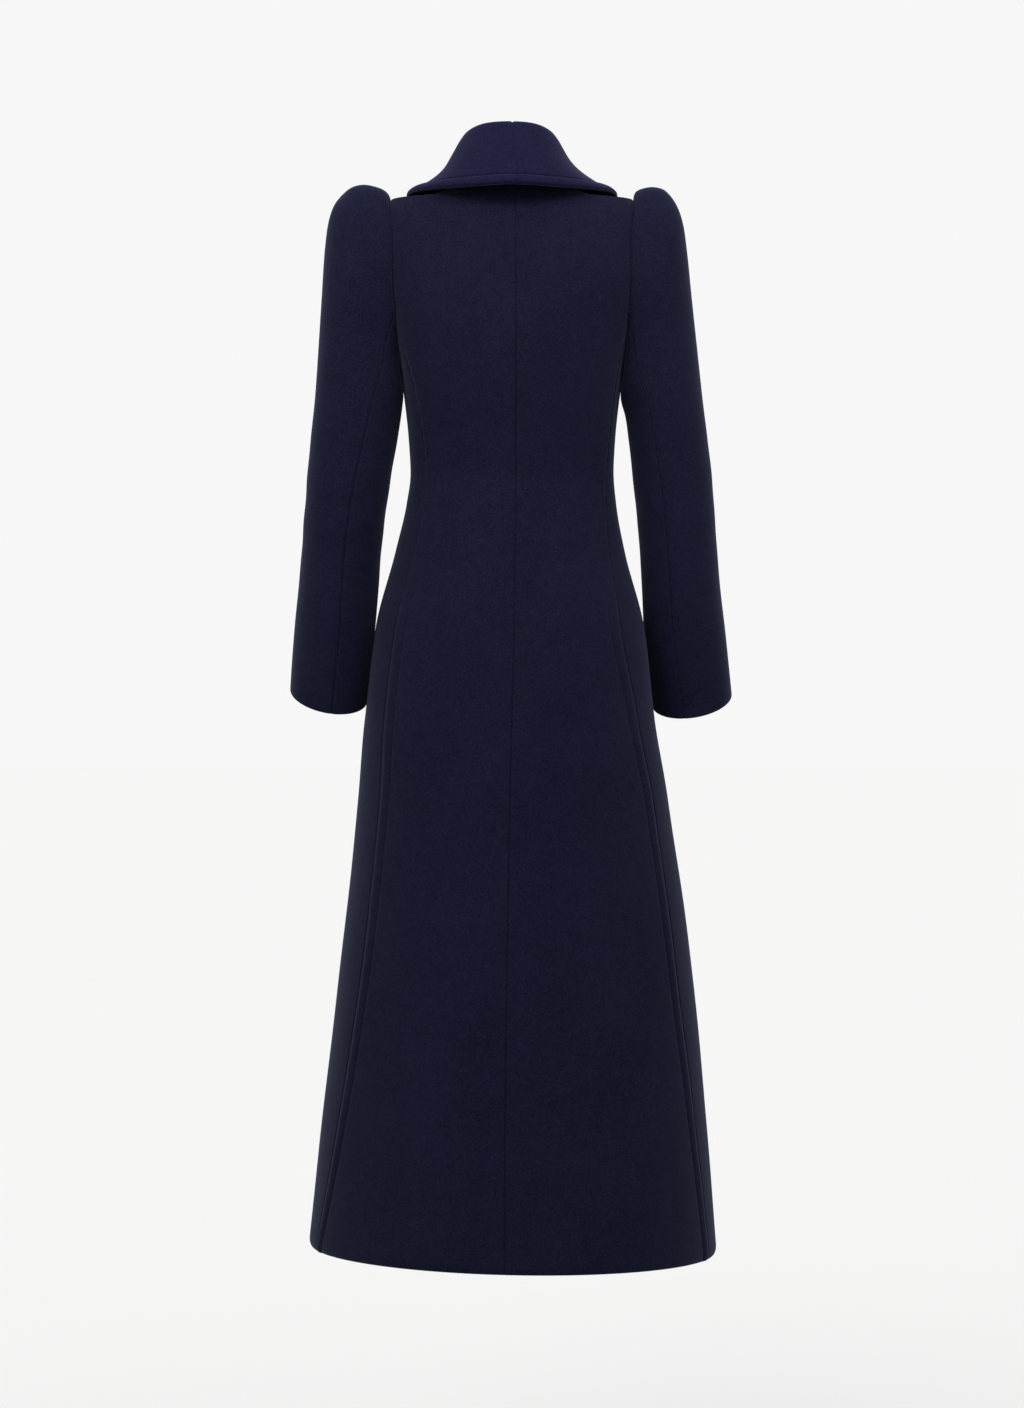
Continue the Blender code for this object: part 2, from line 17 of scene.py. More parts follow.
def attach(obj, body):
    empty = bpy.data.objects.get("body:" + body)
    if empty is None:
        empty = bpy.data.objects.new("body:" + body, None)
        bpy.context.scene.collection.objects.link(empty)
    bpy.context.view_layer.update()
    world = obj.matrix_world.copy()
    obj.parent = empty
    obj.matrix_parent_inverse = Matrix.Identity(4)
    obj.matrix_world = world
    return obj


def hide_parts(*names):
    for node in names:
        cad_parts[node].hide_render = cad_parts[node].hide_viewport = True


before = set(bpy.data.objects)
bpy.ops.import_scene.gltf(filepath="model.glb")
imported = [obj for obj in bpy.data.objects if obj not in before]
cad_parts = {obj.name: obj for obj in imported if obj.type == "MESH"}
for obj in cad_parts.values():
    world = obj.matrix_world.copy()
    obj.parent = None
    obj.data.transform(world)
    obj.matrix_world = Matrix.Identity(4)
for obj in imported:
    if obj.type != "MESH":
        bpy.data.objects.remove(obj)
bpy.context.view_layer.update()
MM = 0.001

# Cloth
CLOTH = 3.0
COLLAR_CLOTH = 5.0
SEAM_GAP = 0.3
SLEEVE_GAP = 0.5
PROBE = 0.5

# Main levels
HEM = -1382.0
HEM_DROP = 11.0
HEM_LEVEL_ABOVE = -1000.0
WIDEST = 530.0
SHOULDER_TIP = -27.0
NECK = -8.0
BREAK = -330.0

# Armhole
ARM_BOTTOM = -250.0
ARM_BACK = 55.0
ARM_FRONT = 52.0
SEAM_MEETS_ARM = 120.0
SEAM_TOP = -194.0
CLIMB_FROM = -300.0
UNDER_ARM = 180.0
FULL_TURN = 360.0

# Fronts
OVERLAP = 25.0
TUCK = 4.0
TUCK_FULL = 38.0
TUCK_NONE = 80.0
FRONT_TOP = -12.0
EDGE_FOLDS = (250, 330)
FRONT_STITCH = 9
FRONT_STITCH_FROM = (330, 345)
DART_OUT = 78
DART_DEEP = 0.9
DART_REACH = 2.0
DART_FOOT = (-560, -520)
DART_HEAD = (-300, -270)
SIDE_SEAM_SHOWS = (230, 260)

# Welt, seams and edges
WELT_WIDTH = 20.0
WELT_RISE = 2.0
WELT_CROWN = 1.4
WELT_STARTS = -500.0
WELT_FULL = -600.0
FINE_SEAM = 2.2
PLAIN_SEAM = 1.5
ARM_SEAM = 0.4
UPPER_SEAM = 0.4
SEAM_FAINT = -200
SEAM_CLEAR = -230
SEAM_REACH = 1.5
PUCKER = 0.2
PUCKER_PITCH = 2.9
PUCKER_DRIFT = 17
SIDE_BACK_PHASE = 40
SIDE_PHASE = 90
SLEEVE_PHASE = 30
UNEVEN = 0.28
SEAM_LAP = 0.002
ARM_TUCK = 3.0
HEM_TURN = 5.0
HEM_TURN_TALL = 12.0
EDGE_ROUND = 2.8
STITCH_DIP = 0.8
BAND_WIDTH = 14.0
BAND_RISE = 3.4
BAND_CROWN = 0.8
BAND_LEVEL = 0.4
BAND_ROUND = 0.6
BAND_STEP = 3.0
BAND_STITCH = 0.6
TIP_FLAT = 8.0
TIP_FULL = 60.0

# Stitches
STITCH_LONG = 3.4
STITCH_PITCH = 4.6
STITCH_RADIUS = 0.35
STITCH_FILL = 0.62
STITCH_FLAT = 0.8
STITCH_PROUD = 0.4
STITCH_WIDTH = 1.6
WELT_STITCH_FOOT = 8
WELT_STITCH_HEAD = 40
PROBE_TURN = 0.01

# Buttons
BUTTON_COUNT = 4
BUTTON_FIRST = -347.0
BUTTON_PITCH = 105.0
BUTTON_RADIUS = 14.0
BUTTON_THICK = 4.5
BUTTON_SHANK = 1.8
BUTTON_LIFT = 0.5
SHANK_RADIUS = 4
RIM_WIDTH = 3.5
HOLE_X = 2.3
HOLE_Y = 2.4
SLIT_HALF = 1.0
SLIT_STARTS = -20.0
SLIT_ENDS = 10.1
SLIT_STITCH = 0.9

# Camera and studio
CAMERA_AWAY = 4.8
CAMERA_HEIGHT = -0.681
VIEW_TALL = 1408 * 0.0013
SENSOR_TALL = 36.0
FLOOR = -1.80
FLOOR_PALE = (0.73, 0.73, 0.73, 1.0)
SURROUND_PALE = (0.93, 0.93, 0.93, 1.0)
PANEL_POWER = 3.6
PANEL_SIZE = 0.7
PANEL_SPREAD = 70

# Colours
BLACK = (0.0, 0.0, 0.0, 1.0)
WHITE = (1.0, 1.0, 1.0, 1.0)
WOOL_DARK = (0.0019, 0.0022, 0.0080, 1.0)
WOOL_PALE = (0.0070, 0.0076, 0.0195, 1.0)
WOOL_SHEEN = (0.60, 0.68, 1.0, 1.0)
# The collar's wool is a lighter, bluer copy of the body's wool: painted light for the top light that falls
# on the upturned collar.
COLLAR_PAINTED_LIT_DARK = (0.0025, 0.0025, 0.0118, 1.0)
COLLAR_PAINTED_LIT_PALE = (0.0081, 0.0081, 0.0262, 1.0)
COLLAR_SHEEN = (0.62, 0.64, 1.0, 1.0)
FLECK = (0.004, 0.0042, 0.0075, 1.0)
THREAD_DARK = (0.0026, 0.0030, 0.0090, 1.0)
THREAD_PALE = (0.0080, 0.0086, 0.0210, 1.0)
HORN_DARK = (0.0020, 0.0022, 0.0070, 1.0)
HORN_PALE = (0.0090, 0.0095, 0.0200, 1.0)

# Grids: how finely each piece is divided
BODY_WALK = 160
SLEEVE_WALK = 200
EDGE_SHARE = 0.42
BACK_COLUMNS = 36
SIDE_BACK_COLUMNS = 18
FRONT_COLUMNS = 46
TOP_SLEEVE_COLUMNS = 56
UNDER_SLEEVE_COLUMNS = 24
SLEEVE_ROWS = 150
HEAD_PLACES = (0, 0.08, 0.16, 0.25, 0.37)
CUFF_RING_APART = 49.0
COLLAR_ROWS = 130
COLLAR_ACROSS = ((0, 4.4, 64), (4.42, 4.96, 44), (4.965, 5, 9))
SECTION_APART = 42.0

Level = namedtuple("Level", "height half_width back front square sway centre_seam left_seam right_seam")
BODY = [
    Level(HEM, 265.0, 236.0, 226.0, 2.00, -1.0, 9.0, 0.957, 0.952),
    Level(-1222, 250.0, 219.0, 208.0, 2.00, -3.0, 8.5, 0.905, 0.930),
    Level(-1014, 227.5, 197.0, 186.0, 2.00, -5.0, 6.0, 0.862, 0.897),
    Level(-806, 201.5, 172.0, 160.0, 2.00, -1.5, 2.5, 0.848, 0.890),
    Level(-702, 188.8, 158.0, 146.0, 2.05, 3.0, 0.0, 0.850, 0.870),
    Level(-577, 173.4, 143.0, 129.0, 2.10, 2.9, -3.0, 0.840, 0.815),
    Level(-484, 149.3, 119.0, 112.0, 2.15, 2.5, -4.0, 0.815, 0.850),
    Level(-421, 136.0, 101.0, 104.0, 2.20, 1.0, -5.0, 0.820, 0.895),
    Level(-382, 132.0, 93.0, 102.0, 2.20, 0.0, -5.0, 0.840, 0.920),
    Level(-343, 134.0, 96.0, 107.0, 2.25, 0.0, -5.0, 0.850, 0.935),
    Level(-296, 138.5, 105.0, 118.0, 2.30, 0.0, -5.0, 0.872, 0.940),
    Level(ARM_BOTTOM, 145.0, 110.0, 124.0, 2.35, 0.0, -5.0, 0.905, 0.943),
    Level(-195, 157.7, 112.0, 121.0, 2.40, 0.0, -5.0, 0.944, 0.944),
    Level(-133, 168.0, 107.0, 100.0, 2.40, 0.0, -5.0, 0.944, 0.944),
    Level(-60, 166.7, 86.0, 68.0, 2.40, 0.0, -4.0, 0.944, 0.944),
    Level(SHOULDER_TIP, 157.0, 69.0, 48.0, 2.40, 0.0, -4.0, 0.944, 0.944),
    Level(-24, 118.0, 67.0, 46.5, 2.35, 0.0, -3.0, 0.944, 0.944),
    Level(-17, 93.0, 63.5, 46.0, 2.25, 0.0, -3.0, 0.944, 0.944),
    Level(NECK, 74.0, 60.0, 46.0, 2.20, 0.0, -3.0, 0.944, 0.944),
]

Ring = namedtuple("Ring", "inner_x inner_z outer_x outer_z depth forward tilt free seam")
LEFT_SLEEVE = [
    Ring(145.0, -250, 157.0, -27, 55, 0, 0.00, 0.0, 104),
    Ring(144.3, -254, 162.0, -11, 56, 0, 0.00, 0.4, 109),
    Ring(143.6, -258, 175.0, -4.5, 58, 0, 0.00, 0.7, 114.5),
    Ring(142.6, -262, 191.0, -4, 60, 0, 0.00, 0.9, 117),
    Ring(141.8, -266, 208.0, -9.5, 61, 0, 0.00, 1.0, 119),
    Ring(141.1, -270, 221.0, -20, 62, 1, 0.00, 1.0, 120.5),
    Ring(140.5, -274, 232.0, -35, 63, 1, 0.00, 1.0, 121.3),
    Ring(140.3, -278, 239.0, -58, 64, 2, 0.00, 1.0, 121.6),
    Ring(140.2, -283, 243.5, -95, 64, 3, 0.00, 1.0, 121.3),
    Ring(140.6, -288, 247.0, -150, 64, 4, 0.00, 1.0, 118.5),
    Ring(141.4, -294, 251.0, -215, 64, 6, 0.00, 1.0, 115),
    Ring(143.0, -306, 255.0, -275, 64, 8, 0.00, 1.0, 110),
    Ring(149.0, -343, 261.0, -340, 63, 11, 0.02, 1.0, 105.5),
    Ring(157.5, -390, 265.0, -388, 62, 13, 0.06, 1.0, 101),
    Ring(164.5, -437, 269.0, -435, 60, 13, 0.12, 1.0, 98),
    Ring(170.0, -484, 273.0, -481, 59, 11, 0.20, 1.0, 97),
    Ring(173.2, -535, 277.5, -529, 58, 7, 0.28, 1.0, 97),
    Ring(177.1, -583, 282.0, -574, 57, 2, 0.34, 1.0, 98),
    Ring(183.4, -632, 285.5, -619, 56, -4, 0.38, 1.0, 98),
    Ring(188.6, -680, 288.5, -663, 55, -10, 0.40, 1.0, 97),
]
RIGHT_SLEEVE = [
    Ring(145.0, -250, 157.0, -27, 55, 0, 0.00, 0.0, 104),
    Ring(144.3, -254, 158.5, -15, 56, 0, 0.00, 0.4, 110),
    Ring(143.6, -258, 163.0, -9.5, 58, 0, 0.00, 0.7, 116),
    Ring(142.7, -262, 179.5, -7.5, 60, 0, 0.00, 0.9, 119),
    Ring(141.9, -266, 196.0, -12, 61, 0, 0.00, 1.0, 121.3),
    Ring(141.1, -270, 207.0, -22, 62, 0, 0.00, 1.0, 123),
    Ring(140.5, -274, 216.0, -37, 63, 0, 0.00, 1.0, 124.1),
    Ring(140.3, -278, 223.0, -60, 64, 0, 0.00, 1.0, 124.4),
    Ring(140.3, -283, 228.0, -97, 64, 0, 0.00, 1.0, 124),
    Ring(140.9, -288, 233.5, -152, 64, 0, 0.00, 1.0, 122),
    Ring(142.6, -294, 240.5, -217, 64, -1, 0.00, 1.0, 118.7),
    Ring(146.5, -306, 247.0, -277, 63, -2, 0.00, 1.0, 114.5),
    Ring(152.0, -343, 254.5, -341, 62, -3, 0.02, 1.0, 112),
    Ring(157.5, -390, 260.0, -389, 60, -5, 0.06, 1.0, 110),
    Ring(163.0, -437, 264.0, -436, 59, -8, 0.12, 1.0, 109),
    Ring(167.0, -484, 268.0, -482, 58, -13, 0.20, 1.0, 108),
    Ring(169.5, -535, 272.5, -531, 57, -20, 0.28, 1.0, 107),
    Ring(171.6, -584, 278.0, -577, 56, -28, 0.34, 1.0, 107),
    Ring(177.7, -634, 283.0, -624, 55, -36, 0.38, 1.0, 106),
    Ring(183.7, -685, 288.0, -670, 55, -44, 0.40, 1.0, 105),
]
SLEEVES = {"left": LEFT_SLEEVE, "right": RIGHT_SLEEVE}
FRONT_SLEEVE_SEAM = 240.0
UNDERARM_BACK = 22.0
UNDERARM_SPREAD = 35.0
UNDERARM_BEGINS = (0.0, 2.0)
UNDERARM_ENDS = (8.0, 12.0)
SLEEVE_CENTRE = 215.0
ELBOW = -425
ELBOW_REACH = 75
CREASE_DEEP = 0.55
CREASE_PITCH = 9.5
CREASE_SHOWS = (-30, 35)
RIPPLE_DEEP = 0.5
RIPPLE_SHOWS = (250, 330)

Section = namedtuple("Section", "base stand fold roll fall edge")
NECK_SECTIONS = [
    Section((0, 58.5, -7.5), (0, 51, 54), (0, 57, 65), (0, 64, 58), (0, 81, 20), (0, 99, -19)),
    Section((38, 51, -7.5), (29, 45, 52), (32, 50, 63), (36, 57, 56), (47, 72, 19), (58, 88, -21)),
    Section((64, 30, -7.5), (47, 29, 45), (52, 32, 55), (58, 36, 49), (77, 44, 13), (106, 57, -21)),
    Section((72.5, 0, -7), (53, 2, 35), (58, 2, 44.5), (66, 1, 38), (90, 4, 5), (133, 8, -20)),
    Section((70, -30, -12), (58, -28, 14), (63, -31, 22), (71, -33, 16), (102, -39, -13), (138, -47, -29.5)),
]
Lapel = namedtuple("Lapel", "roll_x roll_z edge_x edge_z")
LAPEL_ENDS = {
    "left": [Lapel(10.0, -232, 66.0, -262), Lapel(18.0, -254, 48.0, -278), Lapel(24.0, -273, 34.0, -290)],
    "right": [Lapel(-0.4, -250, 45.0, -284), Lapel(-14.2, -295, 5.0, -313), Lapel(-22.5, -322, -13.0, -328)],
}
LAPEL_TOP = ((-45, 137.0, -85), (-95, 124.0, -140), (-150, 104.0, -195), (-200, 84.0, -238))
LAPEL_LIFT = 5.2
COLLAR_SEAM_SHIFT = 0.12
COLLAR_LAP = 0.004
COLLAR_LEAN = 3.5
LEAN_FULL = 30.0
ROLL_SHAPE = ((3.2, -1.0), (4.2, 3.0), (2.5, 7.0), (-4.0, 7.2))

# Flat cut of each piece: width and length in metres, and the share of that rectangle that the piece fills.
Cut = namedtuple("Cut", "width length fills")


def column(rows, name):
    return np.array([getattr(row, name) for row in rows], float)


def read_curve(x, y, at):
    """Values at any place between the stations, on a curve that never overshoots them."""
    at = np.asarray(at, float)
    step, grade = np.diff(x), np.diff(y) / np.diff(x)
    same = grade[1:] * grade[:-1] > 0
    before, after = np.where(same, grade[:-1], 1.0), np.where(same, grade[1:], 1.0)
    near, far = 2 * step[1:] + step[:-1], step[1:] + 2 * step[:-1]
    middle = np.where(same, (near + far) / (near / before + far / after), 0.0)
    slope = np.concatenate([grade[:1], middle, grade[-1:]])
    i = np.clip(np.searchsorted(x, at, side="right") - 1, 0, len(x) - 2)
    t = (at - x[i]) / step[i]
    low = (1 + 2 * t) * (1 - t) ** 2 * y[i] + t * (1 - t) ** 2 * step[i] * slope[i]
    return low + t * t * (3 - 2 * t) * y[i + 1] + t * t * (t - 1) * step[i] * slope[i + 1]


def smooth(rows, name, at):
    return read_curve(column(rows, "height"), column(rows, name), at)


def ramp(value, start, end):
    """0 before start, 1 after end, smooth between them."""
    t = np.clip((value - start) / (end - start), 0.0, 1.0)
    return t * t * (3 - 2 * t)


def unit(vectors):
    return vectors / np.maximum(np.linalg.norm(vectors, axis=-1, keepdims=True), 1e-9)


def signed_power(value, power):
    return np.sign(value) * np.abs(value) ** power


def body_ring(angle, height):
    """Points of the body's face. Angles run from the centre back, positive to the wearer's left."""
    angle, height = np.broadcast_arrays(np.asarray(angle, float), np.asarray(height, float))
    power = 2 / smooth(BODY, "square", height)
    depth = np.where(np.cos(angle) >= 0, smooth(BODY, "back", height), smooth(BODY, "front", height))
    across = smooth(BODY, "half_width", height) * signed_power(np.sin(angle), power)
    x = across + smooth(BODY, "sway", height)
    drop = HEM_DROP * (0.5 - x / WIDEST) * ramp(-height, -HEM_LEVEL_ABOVE, -HEM)
    return np.stack([x, depth * signed_power(np.cos(angle), power), height - drop], axis=-1)


def body_normal(angle, height):
    """The outward direction of the body's face."""
    angle, height = np.broadcast_arrays(np.asarray(angle, float), np.asarray(height, float))
    square = smooth(BODY, "square", height)
    deep = np.where(np.cos(angle) >= 0, smooth(BODY, "back", height), smooth(BODY, "front", height))
    share = 2 * (square - 1) / square
    across = signed_power(np.sin(angle), share) / smooth(BODY, "half_width", height)
    flat = unit(np.stack([across, signed_power(np.cos(angle), share) / deep], axis=-1))
    rise = (body_ring(angle, height + PROBE) - body_ring(angle, height - PROBE))[..., :2] / (2 * PROBE)
    return unit(np.concatenate([flat, -(flat * rise).sum(axis=-1)[..., None]], axis=-1))


def body(angle, height, lift=0.0):
    """Points at a distance outside the body's face; a negative lift is inside the cloth."""
    return body_ring(angle, height) + body_normal(angle, height) * np.asarray(lift, float)[..., None]


def angle_at(x, height, front):
    """The angle of the body's face at a sideways place, on the back or on the front."""
    share = (x - smooth(BODY, "sway", height)) / smooth(BODY, "half_width", height)
    turn = np.arcsin(np.clip(signed_power(share, smooth(BODY, "square", height) / 2), -1, 1))
    return np.where(turn >= 0, math.pi - turn, -math.pi - turn) if front else turn


def armhole(degrees, side):
    """Angles and heights round the armhole: 0 is the shoulder tip, 90 the back and 180 the underarm."""
    turn = np.radians(degrees)
    middle, half = (SHOULDER_TIP + ARM_BOTTOM) / 2, (SHOULDER_TIP - ARM_BOTTOM) / 2
    height = middle + half * np.cos(turn)
    reach = np.where(np.sin(turn) >= 0, ARM_BACK, ARM_FRONT) * np.sin(turn)
    deep = np.where(reach >= 0, smooth(BODY, "back", height), smooth(BODY, "front", height))
    cosine = signed_power(reach / deep, smooth(BODY, "square", height) / 2)
    return side * np.arccos(np.clip(cosine, -1, 1)), height


def roll_line(height):
    """How far a front reaches towards the other side: the lapel's roll line, then the front edge."""
    share = np.clip((height - BREAK) / (NECK - BREAK), 0, 1)
    return -OVERLAP + (smooth(BODY, "half_width", NECK) + OVERLAP) * share


def side_back_seam(side, height):
    share = smooth(BODY, "left_seam" if side > 0 else "right_seam", height)
    return side * np.arcsin(share ** (smooth(BODY, "square", height) / 2))


FINE_EDGE = np.array([0.0, 0.4, 0.8, 1.3, 1.9, 2.7, 3.8, 5.2, 7.0])
WELT_TOP, WELT_FOOT = np.arange(7.0, 17.0, 1.6), np.arange(17.5, 23.0, 0.7)
WELT_EDGE = np.concatenate([FINE_EDGE[:-1], WELT_TOP, WELT_FOOT, [24.5]])


def spread(width, near, far, count):
    """Places across a width in millimetres: close together by each edge, even between."""
    squeeze = np.minimum(1.0, EDGE_SHARE * width / max(near[-1], far[-1]))
    start, end = near * squeeze, width - far[::-1] * squeeze
    between = np.linspace(start[-1], end[0], count + 2)[1:-1]
    return np.concatenate([start, between, end])


def path_length(line):
    """The length of a line of points from its start to each of them."""
    return np.concatenate([[0], np.cumsum(np.linalg.norm(np.diff(line, axis=0), axis=1))])


def rows_across(heights, first, last, near, far, count):
    """Angles of a grid of body points, row by row, and how far each lies from its row's two edges."""
    angles, places, widths = [], [], []
    for height, a, b in zip(heights, first, last):
        lap = math.copysign(SEAM_LAP, b - a)
        walk = np.linspace(a - lap, b + lap, BODY_WALK)
        length = path_length(body_ring(walk, np.full(BODY_WALK, height)))
        place = spread(length[-1], near, far, count)
        angles.append(np.interp(place, length, walk))
        places.append(place)
        widths.append(np.full(len(place), length[-1]))
    return np.array(angles), np.array(places), np.array(widths)


def outward(points):
    """Outward directions of a grid of points whose columns and rows turn the right way."""
    across, along = np.gradient(points, axis=1), np.gradient(points, axis=0)
    return unit(np.cross(across, along))


def unevenness(points):
    """The slight, slow unevenness of thick pressed cloth, as waves of a few centimetres."""
    x, y, z = points[..., 0], points[..., 1], points[..., 2]
    slow = np.sin(x / 31 + z / 57 + 1.3) * np.sin(z / 83 - y / 41)
    slow = slow + 0.6 * np.sin(z / 29 + x / 47 + y / 37)
    return UNEVEN * slow


def seam_dip(distance, along, depth):
    """How far the cloth sinks beside a seam, with the faint pucker that the stitches pull."""
    pucker = 1 + PUCKER * np.sin(along / PUCKER_PITCH + 0.8 * np.sin(along / PUCKER_DRIFT))
    return -depth * pucker * np.exp(-((distance / SEAM_REACH) ** 2))


def edge_turn(distance, deep=EDGE_ROUND, tall=EDGE_ROUND):
    """How far a folded edge turns in, as a quarter of an oval."""
    left = np.clip(1 - distance / tall, 0, 1)
    return -deep * (1 - np.sqrt(1 - left ** 2))


def hem_turn(levels):
    return edge_turn(levels - HEM, HEM_TURN, HEM_TURN_TALL)


def welt_amount(levels):
    """How much of the welt there is at each height: none above the hip, all of it below."""
    return ramp(-levels, -WELT_STARTS, -WELT_FULL)


def welt_profile(place, amount):
    """A raised, rounded band along a seam, held down by a row of stitches at its far side."""
    crown = np.sin(np.clip(place / WELT_WIDTH, 0, 1) * math.pi) ** WELT_CROWN
    stitch = STITCH_DIP * np.exp(-(((place - WELT_WIDTH) / STITCH_WIDTH) ** 2))
    return amount * (WELT_RISE * crown - stitch)


def side_back_depth(levels):
    """How deep the side-back seam sinks: least at the armhole, most beside the welt."""
    upper = UPPER_SEAM * ramp(-levels, -SEAM_FAINT, -SEAM_CLEAR)
    return ARM_SEAM + (PLAIN_SEAM - ARM_SEAM) * np.maximum(upper, welt_amount(levels))


def mesh_from(name, shape):
    """A mesh made of a finished bmesh, which is freed."""
    mesh = bpy.data.meshes.new(name)
    shape.to_mesh(mesh)
    shape.free()
    return mesh


def cloth_piece(name, points, thickness, material):
    """A sheet of cloth through a grid of points in millimetres, given its thickness on the inside."""
    rows, columns = points.shape[:2]
    shape = bmesh.new()
    bmesh.ops.create_grid(shape, x_segments=columns - 1, y_segments=rows - 1, size=1.0)
    mesh = mesh_from(name, shape)
    flat = np.empty(len(mesh.vertices) * 3)
    mesh.vertices.foreach_get("co", flat)
    flat = flat.reshape(-1, 3)
    low, high = flat.min(axis=0), flat.max(axis=0)
    j = np.rint((flat[:, 0] - low[0]) / (high[0] - low[0]) * (columns - 1)).astype(int)
    i = np.rint((flat[:, 1] - low[1]) / (high[1] - low[1]) * (rows - 1)).astype(int)
    mesh.vertices.foreach_set("co", (points[i, j] * MM).ravel())
    mesh.update()
    return finish_piece(name, mesh, thickness, material)


def finish_piece(name, mesh, thickness, material):
    """An object of the mesh, with a wall's thickness where there is one, that rides with the coat."""
    mesh.materials.append(material)
    mesh.shade_smooth()
    piece = bpy.data.objects.new(name, mesh)
    bpy.context.scene.collection.objects.link(piece)
    if thickness:
        wall = piece.modifiers.new("cloth", "SOLIDIFY")
        wall.thickness = thickness * MM
        wall.offset = -1.0
        wall.use_even_offset = False
        wall.use_quality_normals = True
    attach(piece, "root")
    return piece


def declare(piece, node):
    """Hides the part's solid, which the piece takes the place of; the piece itself is not used."""
    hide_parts(node)


HEM_STEPS = np.array([0.0, 0.2, 0.5, 1.0, 1.6, 2.4, 3.4, 4.8, 6.8, 9.5, 13.0])
ROW_STEP = 6.5


def body_heights(top):
    """Heights of the rows of a body panel, close together at the hem."""
    start = HEM + HEM_STEPS[-1]
    even = np.linspace(start, top, int((top - start) / ROW_STEP))
    return np.concatenate([HEM + HEM_STEPS[:-1], even])


def face_out(points, centre):
    """The grid with its columns turned so that its face looks away from the centre line."""
    i, j = points.shape[0] // 2, points.shape[1] // 2
    return points if (outward(points)[i, j] * (points[i, j] - centre)).sum() > 0 else points[:, ::-1]


def shape_cloth(points, lift):
    """Moves a grid of points out by a lift that is worked out on the same grid."""
    centre = np.array([0.0, 0.0, points[points.shape[0] // 2, points.shape[1] // 2, 2]])
    turned = face_out(points, centre)
    lift = lift if turned is points else lift[:, ::-1]
    return turned + outward(turned) * (lift + unevenness(turned))[..., None]


def back_piece(word, side, material):
    """One half of the back."""
    low = body_heights(SEAM_TOP)
    arm = np.linspace(SEAM_MEETS_ARM, 0, 44)[1:]
    arm_angle, arm_height = armhole(arm, side)
    shoulder = np.linspace(SHOULDER_TIP, NECK, 10)[1:]
    heights = np.concatenate([low, arm_height, shoulder])
    ridge = np.full(len(shoulder), side * math.pi / 2)
    outer = np.concatenate([side_back_seam(side, low), arm_angle, ridge])
    centre = angle_at(smooth(BODY, "centre_seam", heights), heights, front=False)
    angles, places, widths = rows_across(heights, centre, outer, FINE_EDGE, WELT_EDGE, BACK_COLUMNS)
    levels = np.broadcast_to(heights[:, None], angles.shape)
    to_seam = widths - places
    lift = seam_dip(places, levels, FINE_SEAM)
    lift = lift + seam_dip(to_seam, levels + SIDE_BACK_PHASE, side_back_depth(levels))
    lift = lift + welt_profile(to_seam, welt_amount(levels)) + hem_turn(levels)
    points = shape_cloth(body_ring(angles, levels), lift)
    declare(cloth_piece(f"cloth_back_{word}", points, CLOTH, material), f"back_{word}")


def side_back_piece(word, side, material):
    """The side-back panel, from the armhole to the hem."""
    rows = body_heights(CLIMB_FROM)
    seam = side_back_seam(side, rows)
    edge = np.full(len(rows), side * math.pi / 2)
    angles, places, widths = rows_across(rows, seam, edge, FINE_EDGE, FINE_EDGE, SIDE_BACK_COLUMNS)
    levels = np.broadcast_to(rows[:, None], angles.shape).copy()
    share = places[-1] / widths[-1]
    arm_angle, arm_height = armhole(SEAM_MEETS_ARM + share * (UNDER_ARM - SEAM_MEETS_ARM), side)
    base_angle, base_level = angles[-1], levels[-1]
    climb = np.concatenate([np.linspace(0, 0.9, 15)[1:], [0.93, 0.95, 0.97, 0.98, 0.99, 1.0]])
    for part in climb:
        level = base_level + (arm_height - base_level) * part
        turn = base_angle + (arm_angle - base_angle) * part
        own = side_back_seam(side, level[:1])
        turn = turn + (own - turn[0]) * (1 - share) * (1 - part)
        angles, levels = np.vstack([angles, turn]), np.vstack([levels, level])
        places, widths = np.vstack([places, places[-1]]), np.vstack([widths, widths[-1]])
    lift = seam_dip(places, levels, side_back_depth(levels))
    lift = lift + seam_dip(widths - places, levels + SIDE_PHASE, PLAIN_SEAM) + hem_turn(levels)
    points = shape_cloth(body_ring(angles, levels), lift)
    piece = cloth_piece(f"cloth_side_back_{word}", points, CLOTH, material)
    declare(piece, f"side_back_{word}")


